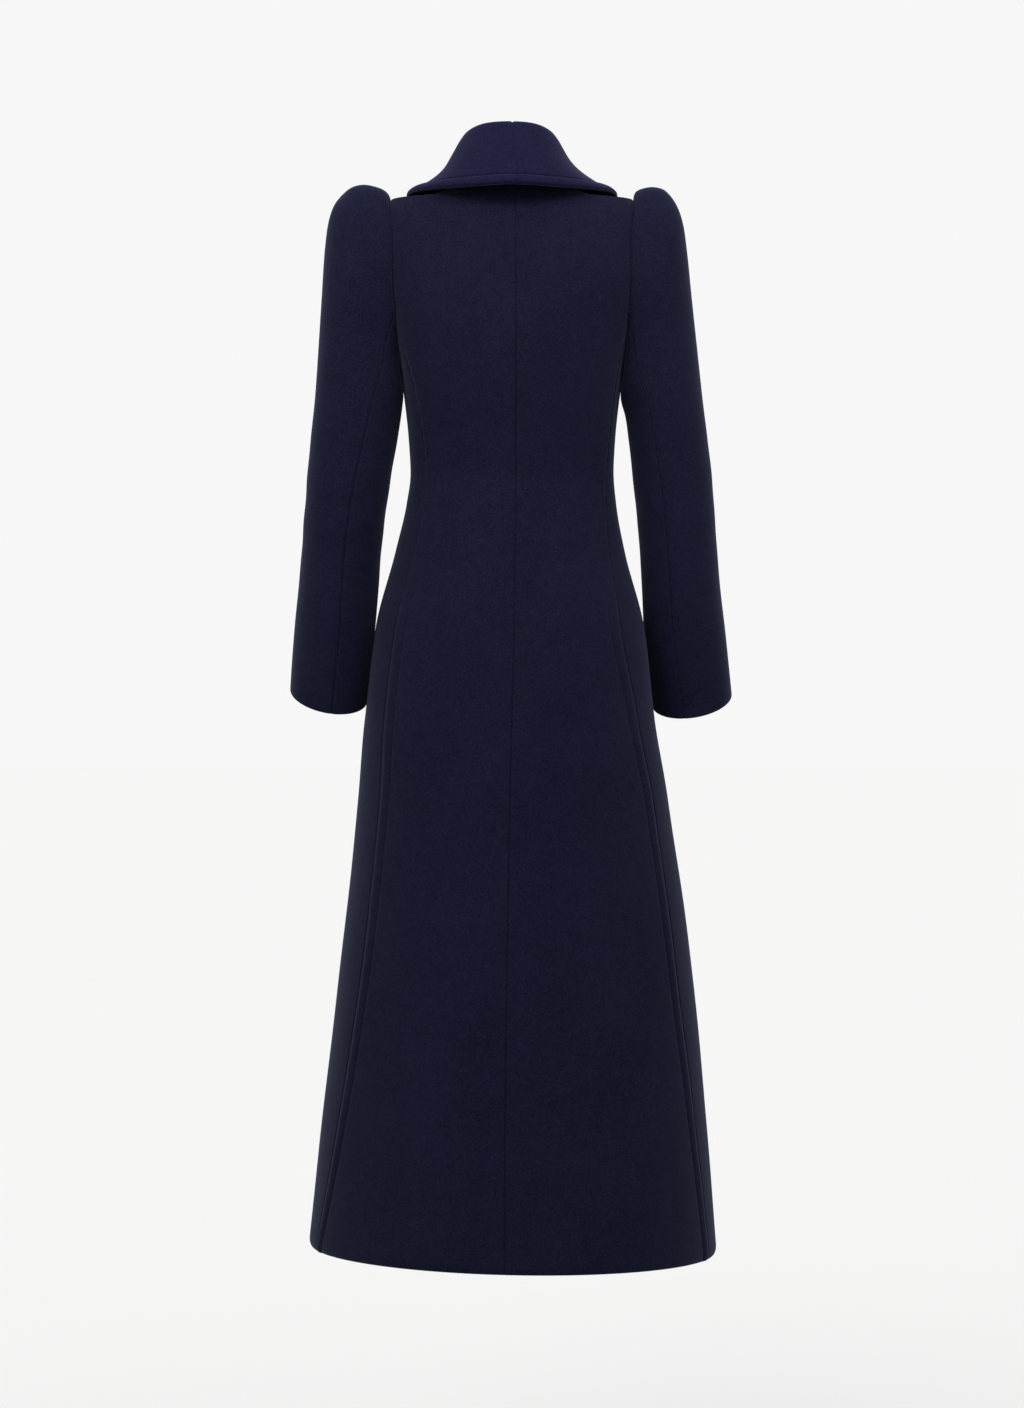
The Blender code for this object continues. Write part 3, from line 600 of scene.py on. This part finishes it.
def front_piece(word, side, material):
    """One front, from the side seam to the front edge and the roll line."""
    low = body_heights(ARM_BOTTOM)
    arm = np.linspace(UNDER_ARM, FULL_TURN, 54)[1:]
    arm_angle, arm_height = armhole(arm, side)
    shoulder = np.linspace(SHOULDER_TIP, FRONT_TOP, 8)[1:]
    heights = np.concatenate([low, arm_height, shoulder])
    straight, ridge = np.full(len(low), side * math.pi / 2), np.full(len(shoulder), side * math.pi / 2)
    outer = np.concatenate([straight, arm_angle, ridge])
    edge = angle_at(side * roll_line(heights), heights, front=True)
    edge = np.where(edge * side < 0, edge + side * 2 * math.pi, edge)
    angles, places, widths = rows_across(heights, outer, edge, FINE_EDGE, FINE_EDGE, FRONT_COLUMNS)
    levels = np.broadcast_to(heights[:, None], angles.shape)
    points = body_ring(angles, levels)
    reach, facing, to_edge = side * points[..., 0], np.cos(angles) < 0, widths - places
    tuck = np.zeros(angles.shape)
    if side > 0:
        tuck = -TUCK * ramp(-reach, -TUCK_NONE, -TUCK_FULL) * facing
    folded = edge_turn(to_edge) * ramp(-levels, *EDGE_FOLDS)
    stitched = -0.5 * STITCH_DIP * np.exp(-(((to_edge - FRONT_STITCH) / 1.2) ** 2))
    stitched = stitched * ramp(-levels, *FRONT_STITCH_FROM)
    dart = -DART_DEEP * np.exp(-(((reach - DART_OUT) / DART_REACH) ** 2))
    dart = dart * ramp(levels, *DART_FOOT) * (1 - ramp(levels, *DART_HEAD))
    seam = ARM_SEAM + (PLAIN_SEAM - ARM_SEAM) * ramp(-levels, *SIDE_SEAM_SHOWS)
    lift = tuck + seam_dip(places, levels, seam) + folded + stitched + dart * facing + hem_turn(levels)
    points = shape_cloth(points, lift)
    declare(cloth_piece(f"cloth_front_{word}", points, CLOTH, material), f"front_{word}")


def sleeve_values(rings, place):
    """The sleeve table's columns at any place between its rows."""
    index = np.arange(len(rings), dtype=float)
    return {name: read_curve(index, column(rings, name), place) for name in Ring._fields}


def sleeve_points(rings, place, degrees, side):
    """Points of the sleeve's face, by place along the table and angle round the section."""
    ring = sleeve_values(rings, place)
    turn = np.radians(degrees)
    middle_x, half_x = (ring["inner_x"] + ring["outer_x"]) / 2, (ring["outer_x"] - ring["inner_x"]) / 2
    middle_z, half_z = (ring["inner_z"] + ring["outer_z"]) / 2, (ring["outer_z"] - ring["inner_z"]) / 2
    back = ring["depth"] * np.sin(turn)
    x = middle_x + half_x * np.cos(turn)
    z = middle_z + half_z * np.cos(turn) - ring["tilt"] * back
    set_back = UNDERARM_BACK * np.exp(-(((degrees - UNDER_ARM) / UNDERARM_SPREAD) ** 2))
    set_back = set_back * ramp(place, *UNDERARM_BEGINS) * (1 - ramp(place, *UNDERARM_ENDS))
    oval = np.stack([x, back + ring["forward"] + set_back, z], axis=-1)
    seat = body(*armhole(degrees, 1)) + np.array([SLEEVE_GAP, 0, 0])
    free = ring["free"][..., None]
    return (oval * free + seat * (1 - free)) * np.array([side, 1, 1])


def sleeve_creases(points):
    """Soft creases inside the elbow, and a slow ripple down the arm."""
    x, y, z = np.abs(points[..., 0]), points[..., 1], points[..., 2]
    crook = np.exp(-(((z - ELBOW) / ELBOW_REACH) ** 2))
    crease = np.sin((z + 0.35 * x + 0.5 * y) / CREASE_PITCH) * ramp(y, *CREASE_SHOWS)
    ripple = np.sin(z / 38 + x / 23) * ramp(-z, *RIPPLE_SHOWS)
    return CREASE_DEEP * crook * crease, RIPPLE_DEEP * ripple


def sleeve_piece(kind, word, side, starts, ends, count, material):
    """A sleeve panel between two seams, with a turned-in cuff edge."""
    rings = SLEEVES[word]
    last = len(rings) - 1
    cuff = last - HEM_STEPS[::-1] / CUFF_RING_APART
    places = np.concatenate([HEAD_PLACES, np.linspace(0.5, cuff[0], SLEEVE_ROWS)[:-1], cuff])
    index = np.arange(len(rings), dtype=float)
    starts, ends = read_curve(index, starts, places), read_curve(index, ends, places)
    grid, across, widths = [], [], []
    for place, start, end in zip(places, starts, ends):
        walk = np.linspace(start, end, SLEEVE_WALK)
        length = path_length(sleeve_points(rings, np.full(SLEEVE_WALK, place), walk, side))
        spot = spread(length[-1], FINE_EDGE, FINE_EDGE, count)
        grid.append(sleeve_points(rings, np.full(len(spot), place), np.interp(spot, length, walk), side))
        across.append(spot)
        widths.append(np.full(len(spot), length[-1]))
    tucked = grid[0] - np.array([side * ARM_TUCK, 0.0, 0.0])
    points, across, widths = (np.array(rows[:1] + rows) for rows in (grid, across, widths))
    points[0] = tucked
    z = points[..., 2]
    along_edge = np.linalg.norm(points - points[-1:], axis=-1)
    lift = seam_dip(across, z, FINE_SEAM) + seam_dip(widths - across, z + SLEEVE_PHASE, FINE_SEAM)
    creases, ripple = sleeve_creases(points)
    lift = lift + edge_turn(along_edge) + creases + ripple
    centre = np.array([side * SLEEVE_CENTRE, 0.0, z[len(places) // 2].mean()])
    turned = face_out(points, centre)
    lift = lift if turned is points else lift[:, ::-1]
    points = turned + outward(turned) * lift[..., None]
    declare(cloth_piece(f"cloth_{kind}_{word}", points, CLOTH, material), f"{kind}_{word}")


def sleeve_pieces(word, side, material):
    """The top sleeve and the under sleeve of one arm."""
    rings = SLEEVES[word]
    back_seam, front_seam = column(rings, "seam"), np.full(len(rings), FRONT_SLEEVE_SEAM)
    lap = np.degrees(0.5 * SEAM_GAP / column(rings, "depth"))
    around = front_seam - FULL_TURN
    top_columns, under_columns = TOP_SLEEVE_COLUMNS, UNDER_SLEEVE_COLUMNS
    sleeve_piece("top_sleeve", word, side, around - lap, back_seam + lap, top_columns, material)
    sleeve_piece("under_sleeve", word, side, back_seam - lap, front_seam + lap, under_columns, material)


def front_place(x, z, lift):
    """A point on the front at a sideways place and height, with the outward direction there."""
    x, z = np.array(float(x)), np.array(float(z))
    angle = angle_at(x, z, front=True)
    return body(angle, z, np.array(float(lift))), body_normal(angle, z)


def lapel_section(lapel):
    """A collar section that lies on the front, with a soft roll at the roll line."""
    roll, out = front_place(lapel.roll_x, lapel.roll_z, 0.0)
    edge, _ = front_place(lapel.edge_x, lapel.edge_z, LAPEL_LIFT)
    middle_x, middle_z = (lapel.roll_x + lapel.edge_x) / 2, (lapel.roll_z + lapel.edge_z) / 2
    middle, _ = front_place(middle_x, middle_z, LAPEL_LIFT)
    towards = roll - edge
    towards = unit(towards - out * towards.dot(out))
    rolled = [roll + towards * inward + out * out_by for inward, out_by in ROLL_SHAPE]
    return Section(*rolled, middle, edge)


def spline(points, at):
    """Points on a smooth curve through evenly numbered control points, with one spare at each end."""
    i = np.clip(np.floor(at).astype(int), 0, len(points) - 4)
    t = (at - i)[:, None, None] if points.ndim == 3 else (at - i)[:, None]
    a, b, c, d = (points[i + n] for n in range(4))
    curve = 2 * b + (c - a) * t + (2 * a - 5 * b + 4 * c - d) * t ** 2
    return 0.5 * (curve + (3 * b - a - 3 * c + d) * t ** 3)


def collar_surface(sections, along, across):
    """The middle of the collar's cloth, by place along from the centre back and across from the neck."""
    control = np.array([np.array(section, float) for section in sections])
    mirrored = control[1] * np.array([-1, 1, 1])
    control = np.concatenate([mirrored[None], control, 2 * control[-1:] - control[-2:-1]])
    lines = spline(control, along)
    before, after = 2 * lines[:, :1] - lines[:, 1:2], 2 * lines[:, -1:] - lines[:, -2:-1]
    lines = np.concatenate([before, lines, after], axis=1)
    return np.array([spline(line, across) for line in lines])


def collar_normal(middle):
    """The outward direction of the collar's face."""
    across, along = np.gradient(middle, axis=1), np.gradient(middle, axis=0)
    return unit(np.cross(along, across))


def lean(points):
    """The stand and fold lean a little towards the wearer's left."""
    points[..., 0] += COLLAR_LEAN * ramp(points[..., 2], NECK, LEAN_FULL)
    return points


def collar_grid(word, side):
    """The collar's middle face on a fine grid, and how far it is from its outer edge, seam and end."""
    lapels = [Lapel(float(roll_line(z)), z, edge_x, edge_z) for z, edge_x, edge_z in LAPEL_TOP]
    sections = NECK_SECTIONS + [lapel_section(lapel) for lapel in lapels + LAPEL_ENDS[word]]
    last = len(sections) - 1
    begin = -side * COLLAR_SEAM_SHIFT - COLLAR_LAP
    even = np.linspace(begin + FINE_EDGE[-1] / SECTION_APART, last, COLLAR_ROWS)
    along = np.concatenate([begin + FINE_EDGE[:-1] / SECTION_APART, even])
    across = np.concatenate([np.linspace(*part) for part in COLLAR_ACROSS])
    middle = collar_surface(sections, along, across)
    steps = np.linalg.norm(np.diff(middle, axis=1), axis=-1)
    to_edge = np.cumsum(steps[:, ::-1], axis=1)[:, ::-1]
    to_edge = np.concatenate([to_edge, np.zeros((len(along), 1))], axis=1)
    to_seam = np.linalg.norm(middle - middle[:1], axis=-1)
    to_end = np.linalg.norm(middle - middle[-1:], axis=-1)
    return middle, to_edge, to_seam, to_end


def collar_lift(to_edge, to_seam, to_end, run):
    """How far the collar's outer face stands from the middle of its cloth."""
    round_over = np.sin(np.clip(1 - to_edge / BAND_WIDTH, 0, 1) * math.pi) ** BAND_CROWN
    level = 1 - ramp(to_edge, BAND_WIDTH - BAND_STEP, BAND_WIDTH)
    band = BAND_LEVEL * level + BAND_ROUND * round_over
    stitch = -1.3 * STITCH_DIP * np.exp(-(((to_edge - BAND_WIDTH - BAND_STITCH) / 1.3) ** 2))
    raised = (BAND_RISE * band + stitch) * ramp(to_end, TIP_FLAT, TIP_FULL)
    turned = 1.5 * edge_turn(to_edge) * ramp(to_end, 0.0, TIP_FLAT) + edge_turn(to_end)
    return COLLAR_CLOTH / 2 + raised + turned + seam_dip(to_seam, run, PLAIN_SEAM)


def collar_piece(word, side, material):
    """One half of the shawl collar, with its raised, stitched edge."""
    middle, to_edge, to_seam, to_end = collar_grid(word, side)
    run = np.cumsum(np.ones(middle.shape[:2]), axis=1) * 2.0
    lift = collar_lift(to_edge, to_seam, to_end, run) + unevenness(middle)
    points = lean((middle + collar_normal(middle) * lift[..., None]) * np.array([side, 1, 1]))
    points = points[:, ::-1] if side > 0 else points
    piece = cloth_piece(f"cloth_collar_{word}", points, COLLAR_CLOTH, material)
    declare(piece, f"collar_{word}")


def at_length(length, values, place):
    """Values along a path, read at one place or at several."""
    return np.array([np.interp(place, length, values[:, axis]) for axis in range(3)])


def stitch_row(name, line, normals, material):
    """A row of machine stitches along a line of points in millimetres."""
    length = path_length(line)
    shape = bmesh.new()
    for start in np.arange(1.0, length[-1] - STITCH_PITCH, STITCH_PITCH):
        ends = at_length(length, line, (start, start + STITCH_LONG)).T
        out = at_length(length, normals, start)
        middle, way = Vector(ends.mean(axis=0) * MM), Vector((ends[1] - ends[0]) * MM)
        turn = way.to_track_quat("X", "Z").to_matrix().to_4x4()
        thin = STITCH_RADIUS * MM
        size = Matrix.Diagonal((way.length * STITCH_FILL, thin, thin * STITCH_FLAT, 1.0))
        place = Matrix.Translation(middle + Vector(out) * STITCH_RADIUS * STITCH_PROUD * MM)
        bmesh.ops.create_icosphere(shape, subdivisions=1, radius=1.0, matrix=place @ turn @ size)
    return finish_piece(name, mesh_from(name, shape), 0.0, material)


def welt_stitches(word, side, material):
    """The stitches that hold the welt down, from the hip to the hem."""
    heights = np.linspace(HEM + WELT_STITCH_FOOT, WELT_FULL + WELT_STITCH_HEAD, 160)
    seam = side_back_seam(side, heights)
    near, far = body_ring(seam - PROBE_TURN, heights), body_ring(seam + PROBE_TURN, heights)
    turn = seam - side * WELT_WIDTH * (2 * PROBE_TURN) / np.linalg.norm(far - near, axis=-1)
    line = body(turn, heights, -STITCH_DIP * 0.75 + unevenness(body_ring(turn, heights)))
    stitch_row(f"welt_stitches_{word}", line, body_normal(turn, heights), material)


def collar_stitches(word, side, material):
    """The stitches along the collar's raised edge."""
    middle, to_edge, _, to_end = collar_grid(word, side)
    normal = collar_normal(middle)
    rows = np.flatnonzero(to_end[:, -1] > TIP_FULL / 2)
    pick = np.abs(to_edge[rows] - BAND_WIDTH - BAND_STITCH).argmin(axis=1)
    line = middle[rows, pick] + normal[rows, pick] * (COLLAR_CLOTH / 2 - STITCH_DIP * 1.1)
    out = normal[rows, pick] * np.array([side, 1, 1])
    stitch_row(f"collar_stitches_{word}", lean(line * np.array([side, 1, 1])), out, material)


def scaled(x, y, z):
    """A size along three axes, in millimetres."""
    return Matrix.Diagonal((x * MM, y * MM, z * MM, 1))


def moved(x, y, z):
    """A shift along three axes, in millimetres."""
    return Matrix.Translation((x * MM, y * MM, z * MM))


def button_height(number):
    return BUTTON_FIRST - BUTTON_PITCH * (number - 1)


def button_profile(rim, dish, top):
    """Radius and rise of the turned outline, from the middle of the dish over the rim to the shank."""
    inside = [(0, top - 1.4), (dish - 1.6, top - 1.4), (dish - 0.6, top - 1.1), (dish + 0.6, top - 0.2)]
    edge = [(dish + 1.4, top), (rim - 1.1, top), (rim - 0.3, top - 0.5), (rim, top - 1.6)]
    below = [(rim - 0.6, BUTTON_SHANK + 0.8), (rim - 2.0, BUTTON_SHANK + 0.1)]
    shank = [(SHANK_RADIUS, BUTTON_SHANK), (SHANK_RADIUS, 0), (0, 0)]
    return inside + edge + below + shank


def button_piece(number, material, thread):
    """A turned button with a rim, sewn on through four holes."""
    place, out = front_place(0.0, button_height(number), BUTTON_LIFT)
    turn = Vector(out).to_track_quat("Z", "Y").to_matrix().to_4x4()
    seat = Matrix.Translation(Vector(place * MM)) @ turn
    top = BUTTON_SHANK + BUTTON_THICK
    profile = button_profile(BUTTON_RADIUS, BUTTON_RADIUS - RIM_WIDTH, top)
    shape = bmesh.new()
    corners = [shape.verts.new((radius * MM, 0, rise * MM)) for radius, rise in profile]
    edges = [shape.edges.new(pair) for pair in zip(corners, corners[1:])]
    spin = {"axis": (0, 0, 1), "cent": (0, 0, 0), "angle": math.tau, "steps": 56, "use_merge": True}
    bmesh.ops.spin(shape, geom=corners + edges, **spin)
    bmesh.ops.remove_doubles(shape, verts=shape.verts, dist=0.00001)
    bmesh.ops.recalc_face_normals(shape, faces=shape.faces)
    bmesh.ops.transform(shape, matrix=seat, verts=shape.verts)
    name = f"coat_button_{number}"
    mesh = mesh_from(name, shape)
    piece = finish_piece(name, mesh, 0.0, material)
    mesh.set_sharp_from_angle(angle=math.radians(50))
    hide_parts(f"button_{number}")
    button_thread_and_hole_shade(number, seat, top, thread)


def button_thread_and_hole_shade(number, seat, top, material):
    """Two bars of thread across a button's dish, and a flat dark disc of thread colour in each of its four
    holes, painted shade for the holes' depth.
    """
    shape = bmesh.new()
    for x in (-HOLE_X, HOLE_X):
        bar = moved(x, 0, top - 1.35) @ scaled(0.7, 3.3, 0.55)
        bmesh.ops.create_icosphere(shape, subdivisions=2, radius=1.0, matrix=seat @ bar)
    for y in (-HOLE_Y, HOLE_Y):
        for x in (-HOLE_X, HOLE_X):
            # A flat dark disc: painted shade where the hole would sink into the button.
            hole_shade = moved(x, y, top - 1.4) @ scaled(1.1, 1.1, 0.16)
            bmesh.ops.create_icosphere(shape, subdivisions=2, radius=1.0, matrix=seat @ hole_shade)
    name = f"button_thread_and_hole_shade_{number}"
    finish_piece(name, mesh_from(name, shape), 0.0, material)


def buttonhole(number, material):
    """The stitched edges of the slit that a button passes through: two close rows of thread."""
    height = button_height(number)
    shape = bmesh.new()
    for offset in (-SLIT_HALF, SLIT_HALF):
        for x in np.arange(SLIT_STARTS, SLIT_ENDS, SLIT_STITCH):
            lift = 0.1 + float(unevenness(np.array([x, 0.0, height])))
            place, out = front_place(x, height + offset, lift)
            turn = Vector(out).to_track_quat("Z", "Y").to_matrix().to_4x4()
            matrix = Matrix.Translation(Vector(place * MM)) @ turn @ scaled(0.5, 0.95, 0.4)
            bmesh.ops.create_icosphere(shape, subdivisions=1, radius=1.0, matrix=matrix)
    name = f"buttonhole_{number}"
    finish_piece(name, mesh_from(name, shape), 0.0, material)


def node(tree, kind, **values):
    """A shader node, with its sockets or its settings given by name."""
    made = tree.nodes.new(kind)
    for key, value in values.items():
        if key in made.inputs:
            made.inputs[key].default_value = value
        else:
            setattr(made, key, value)
    return made


def noise(tree, vector, scale, detail, stretch=None):
    """A noise pattern in the piece's own place, with features about 1 / scale of a metre."""
    if stretch:
        mapping = node(tree, "ShaderNodeMapping")
        mapping.inputs["Scale"].default_value = stretch
        tree.links.new(vector, mapping.inputs["Vector"])
        vector = mapping.outputs["Vector"]
    made = node(tree, "ShaderNodeTexNoise", Scale=scale, Detail=detail, Roughness=0.6)
    tree.links.new(vector, made.inputs["Vector"])
    return made.outputs["Fac"]


def blend_values(tree, kind, a, b):
    """Two values put together; each is a number or another node's output."""
    made = node(tree, "ShaderNodeMath", operation=kind)
    for socket, value in zip(made.inputs, (a, b)):
        if isinstance(value, (int, float)):
            socket.default_value = value
        else:
            tree.links.new(value, socket)
    return made.outputs["Value"]


def weighted_sum(tree, *parts):
    """Patterns added together, each by its share."""
    total = None
    for pattern, share in parts:
        part = blend_values(tree, "MULTIPLY", pattern, share)
        total = part if total is None else blend_values(tree, "ADD", total, part)
    return total


def colour_ramp(tree, value, dark, pale, low=0.0, high=1.0):
    """A colour that runs from dark to pale as the value goes from low to high."""
    made = node(tree, "ShaderNodeValToRGB")
    first, second = made.color_ramp.elements
    first.position, first.color = low, dark
    second.position, second.color = high, pale
    tree.links.new(value, made.inputs["Fac"])
    return made.outputs["Color"]


def new_material(name, **sockets):
    """A plain material with some sockets set, its node tree, its shader and the piece's own coordinates."""
    material = bpy.data.materials.new(name)
    material.use_nodes = True
    tree = material.node_tree
    shader = tree.nodes["Principled BSDF"]
    for key, value in sockets.items():
        shader.inputs[key.replace("_", " ")].default_value = value
    return material, tree, shader, node(tree, "ShaderNodeTexCoord").outputs["Object"]


def wool_material(name, dark, pale, sheen, sheen_tint):
    """Felted navy coating: a short brushed nap, pale flecks of fibre and slow shade changes."""
    material, tree, shader, place = new_material(
        name, Roughness=0.92, Specular_IOR_Level=0.03, Sheen_Weight=sheen, Sheen_Roughness=0.42,
        Sheen_Tint=sheen_tint)
    slow = noise(tree, place, 7.0, 2.0)
    cloud = noise(tree, place, 70.0, 3.0)
    felt = noise(tree, place, 420.0, 3.0)
    nap = noise(tree, place, 1500.0, 2.0, (1.0, 1.0, 0.35))
    fleck = noise(tree, place, 780.0, 1.0, (1.0, 1.0, 0.5))
    shade = weighted_sum(tree, (slow, 0.16), (cloud, 0.14), (felt, 0.48), (nap, 0.22))
    mixed = node(tree, "ShaderNodeMix", data_type="RGBA", blend_type="ADD")
    tree.links.new(colour_ramp(tree, fleck, BLACK, WHITE, 0.62, 0.78), mixed.inputs[0])
    tree.links.new(colour_ramp(tree, shade, dark, pale, 0.36, 0.64), mixed.inputs[6])
    mixed.inputs[7].default_value = FLECK
    tree.links.new(mixed.outputs[2], shader.inputs["Base Color"])
    height = weighted_sum(tree, (felt, 0.6), (nap, 0.5), (cloud, 0.8))
    bump = node(tree, "ShaderNodeBump", Strength=0.55, Distance=0.0007)
    tree.links.new(height, bump.inputs["Height"])
    tree.links.new(bump.outputs["Normal"], shader.inputs["Normal"])
    return material


def thread_material():
    """Twisted sewing thread of the cloth's own colour."""
    material, tree, shader, place = new_material("navy_thread", Roughness=0.7, Specular_IOR_Level=0.08)
    ply = noise(tree, place, 1800.0, 1.0, (1.0, 1.0, 0.3))
    tree.links.new(colour_ramp(tree, ply, THREAD_DARK, THREAD_PALE), shader.inputs["Base Color"])
    return material


def horn_material():
    """Dark polished horn with faint streaks."""
    material, tree, shader, place = new_material("navy_horn_polished", Specular_IOR_Level=0.12)
    streak = noise(tree, place, 160.0, 4.0, (1.0, 1.0, 0.25))
    tree.links.new(colour_ramp(tree, streak, HORN_DARK, HORN_PALE), shader.inputs["Base Color"])
    rough = node(tree, "ShaderNodeMapRange")
    rough.inputs["To Min"].default_value = 0.28
    rough.inputs["To Max"].default_value = 0.45
    tree.links.new(streak, rough.inputs["Value"])
    tree.links.new(rough.outputs["Result"], shader.inputs["Roughness"])
    return material


def build_coat():
    """All cloth, sewing and buttons."""
    wool = wool_material("navy_wool_felt", WOOL_DARK, WOOL_PALE, 0.07, WOOL_SHEEN)
    # The collar gets the lighter copy of the wool, painted lit for the top light on the upturned collar.
    collar_wool_painted_lit = wool_material("navy_wool_collar_painted_lit", COLLAR_PAINTED_LIT_DARK, COLLAR_PAINTED_LIT_PALE, 0.08, COLLAR_SHEEN)
    thread, horn = thread_material(), horn_material()
    for word, side in (("left", 1), ("right", -1)):
        back_piece(word, side, wool)
        side_back_piece(word, side, wool)
        front_piece(word, side, wool)
        sleeve_pieces(word, side, wool)
        collar_piece(word, side, collar_wool_painted_lit)
        welt_stitches(word, side, thread)
        collar_stitches(word, side, thread)
    for number in range(1, BUTTON_COUNT + 1):
        button_piece(number, horn, thread)
        buttonhole(number, thread)


def sun(name, strength, angle, pitch, turn, colour):
    """A broad, soft light from far away; angles in degrees."""
    light = bpy.data.lights.new(name, "SUN")
    light.energy = strength
    light.angle = math.radians(angle)
    light.color = colour
    lamp = bpy.data.objects.new(name, light)
    lamp.rotation_euler = (math.radians(pitch), 0.0, math.radians(turn))
    bpy.context.scene.collection.objects.link(lamp)


def shoulder_light(name, side, unlit):
    """A soft panel above one shoulder, on the camera's side, flagged off the floor."""
    light = bpy.data.lights.new(name, "AREA")
    light.energy = PANEL_POWER
    light.size = PANEL_SIZE
    light.spread = math.radians(PANEL_SPREAD)
    lamp = bpy.data.objects.new(name, light)
    lamp.location = (side * 0.95, 0.95, 0.95)
    aim = Vector((side * 0.24, 0.0, -0.18)) - lamp.location
    lamp.rotation_euler = aim.to_track_quat("-Z", "Y").to_euler()
    lamp.light_linking.receiver_collection = unlit
    bpy.context.scene.collection.objects.link(lamp)


def build_floor():
    """A pale floor."""
    shape = bmesh.new()
    bmesh.ops.create_grid(shape, x_segments=1, y_segments=1, size=60.0)
    bmesh.ops.translate(shape, verts=shape.verts, vec=(0.0, 0.0, FLOOR))
    mesh = mesh_from("studio_floor", shape)
    floor = bpy.data.objects.new("studio_floor", mesh)
    bpy.context.scene.collection.objects.link(floor)
    pale = bpy.data.materials.new("pale_floor")
    pale.use_nodes = True
    shader = pale.node_tree.nodes["Principled BSDF"]
    shader.inputs["Base Color"].default_value = FLOOR_PALE
    shader.inputs["Roughness"].default_value = 0.9
    shader.inputs["Specular IOR Level"].default_value = 0.0
    mesh.materials.append(pale)
    return floor


def build_light(floor):
    """A pale surround, a soft key from the photo's left, a top light, and a panel for each shoulder."""
    world = bpy.data.worlds.new("pale_surround")
    world.use_nodes = True
    surround = world.node_tree.nodes["Background"]
    surround.inputs["Color"].default_value = SURROUND_PALE
    surround.inputs["Strength"].default_value = 1.0
    bpy.context.scene.world = world
    sun("key_light", 0.8, 50, 52, 145, (1.0, 0.99, 0.97))
    sun("top_light", 0.6, 80, 22, 180, (1.0, 1.0, 1.0))
    unlit = bpy.data.collections.new("floor_only")
    unlit.objects.link(floor)
    unlit.collection_objects[0].light_linking.link_state = "EXCLUDE"
    shoulder_light("left_shoulder_light", 1, unlit)
    shoulder_light("right_shoulder_light", -1, unlit)


def build_camera():
    """The photo's camera, level and square behind the coat."""
    lens = bpy.data.cameras.new("photo_camera")
    lens.sensor_fit = "VERTICAL"
    lens.sensor_height = SENSOR_TALL
    lens.lens = SENSOR_TALL * CAMERA_AWAY / VIEW_TALL
    lens.clip_end = 200.0
    camera = bpy.data.objects.new("photo_camera", lens)
    camera.location = (0.0, CAMERA_AWAY, CAMERA_HEIGHT)
    camera.rotation_euler = (math.pi / 2, 0.0, math.pi)
    bpy.context.scene.collection.objects.link(camera)
    bpy.context.scene.camera = camera
    bpy.context.scene.view_settings.view_transform = "Standard"


build_coat()
build_light(build_floor())
build_camera()
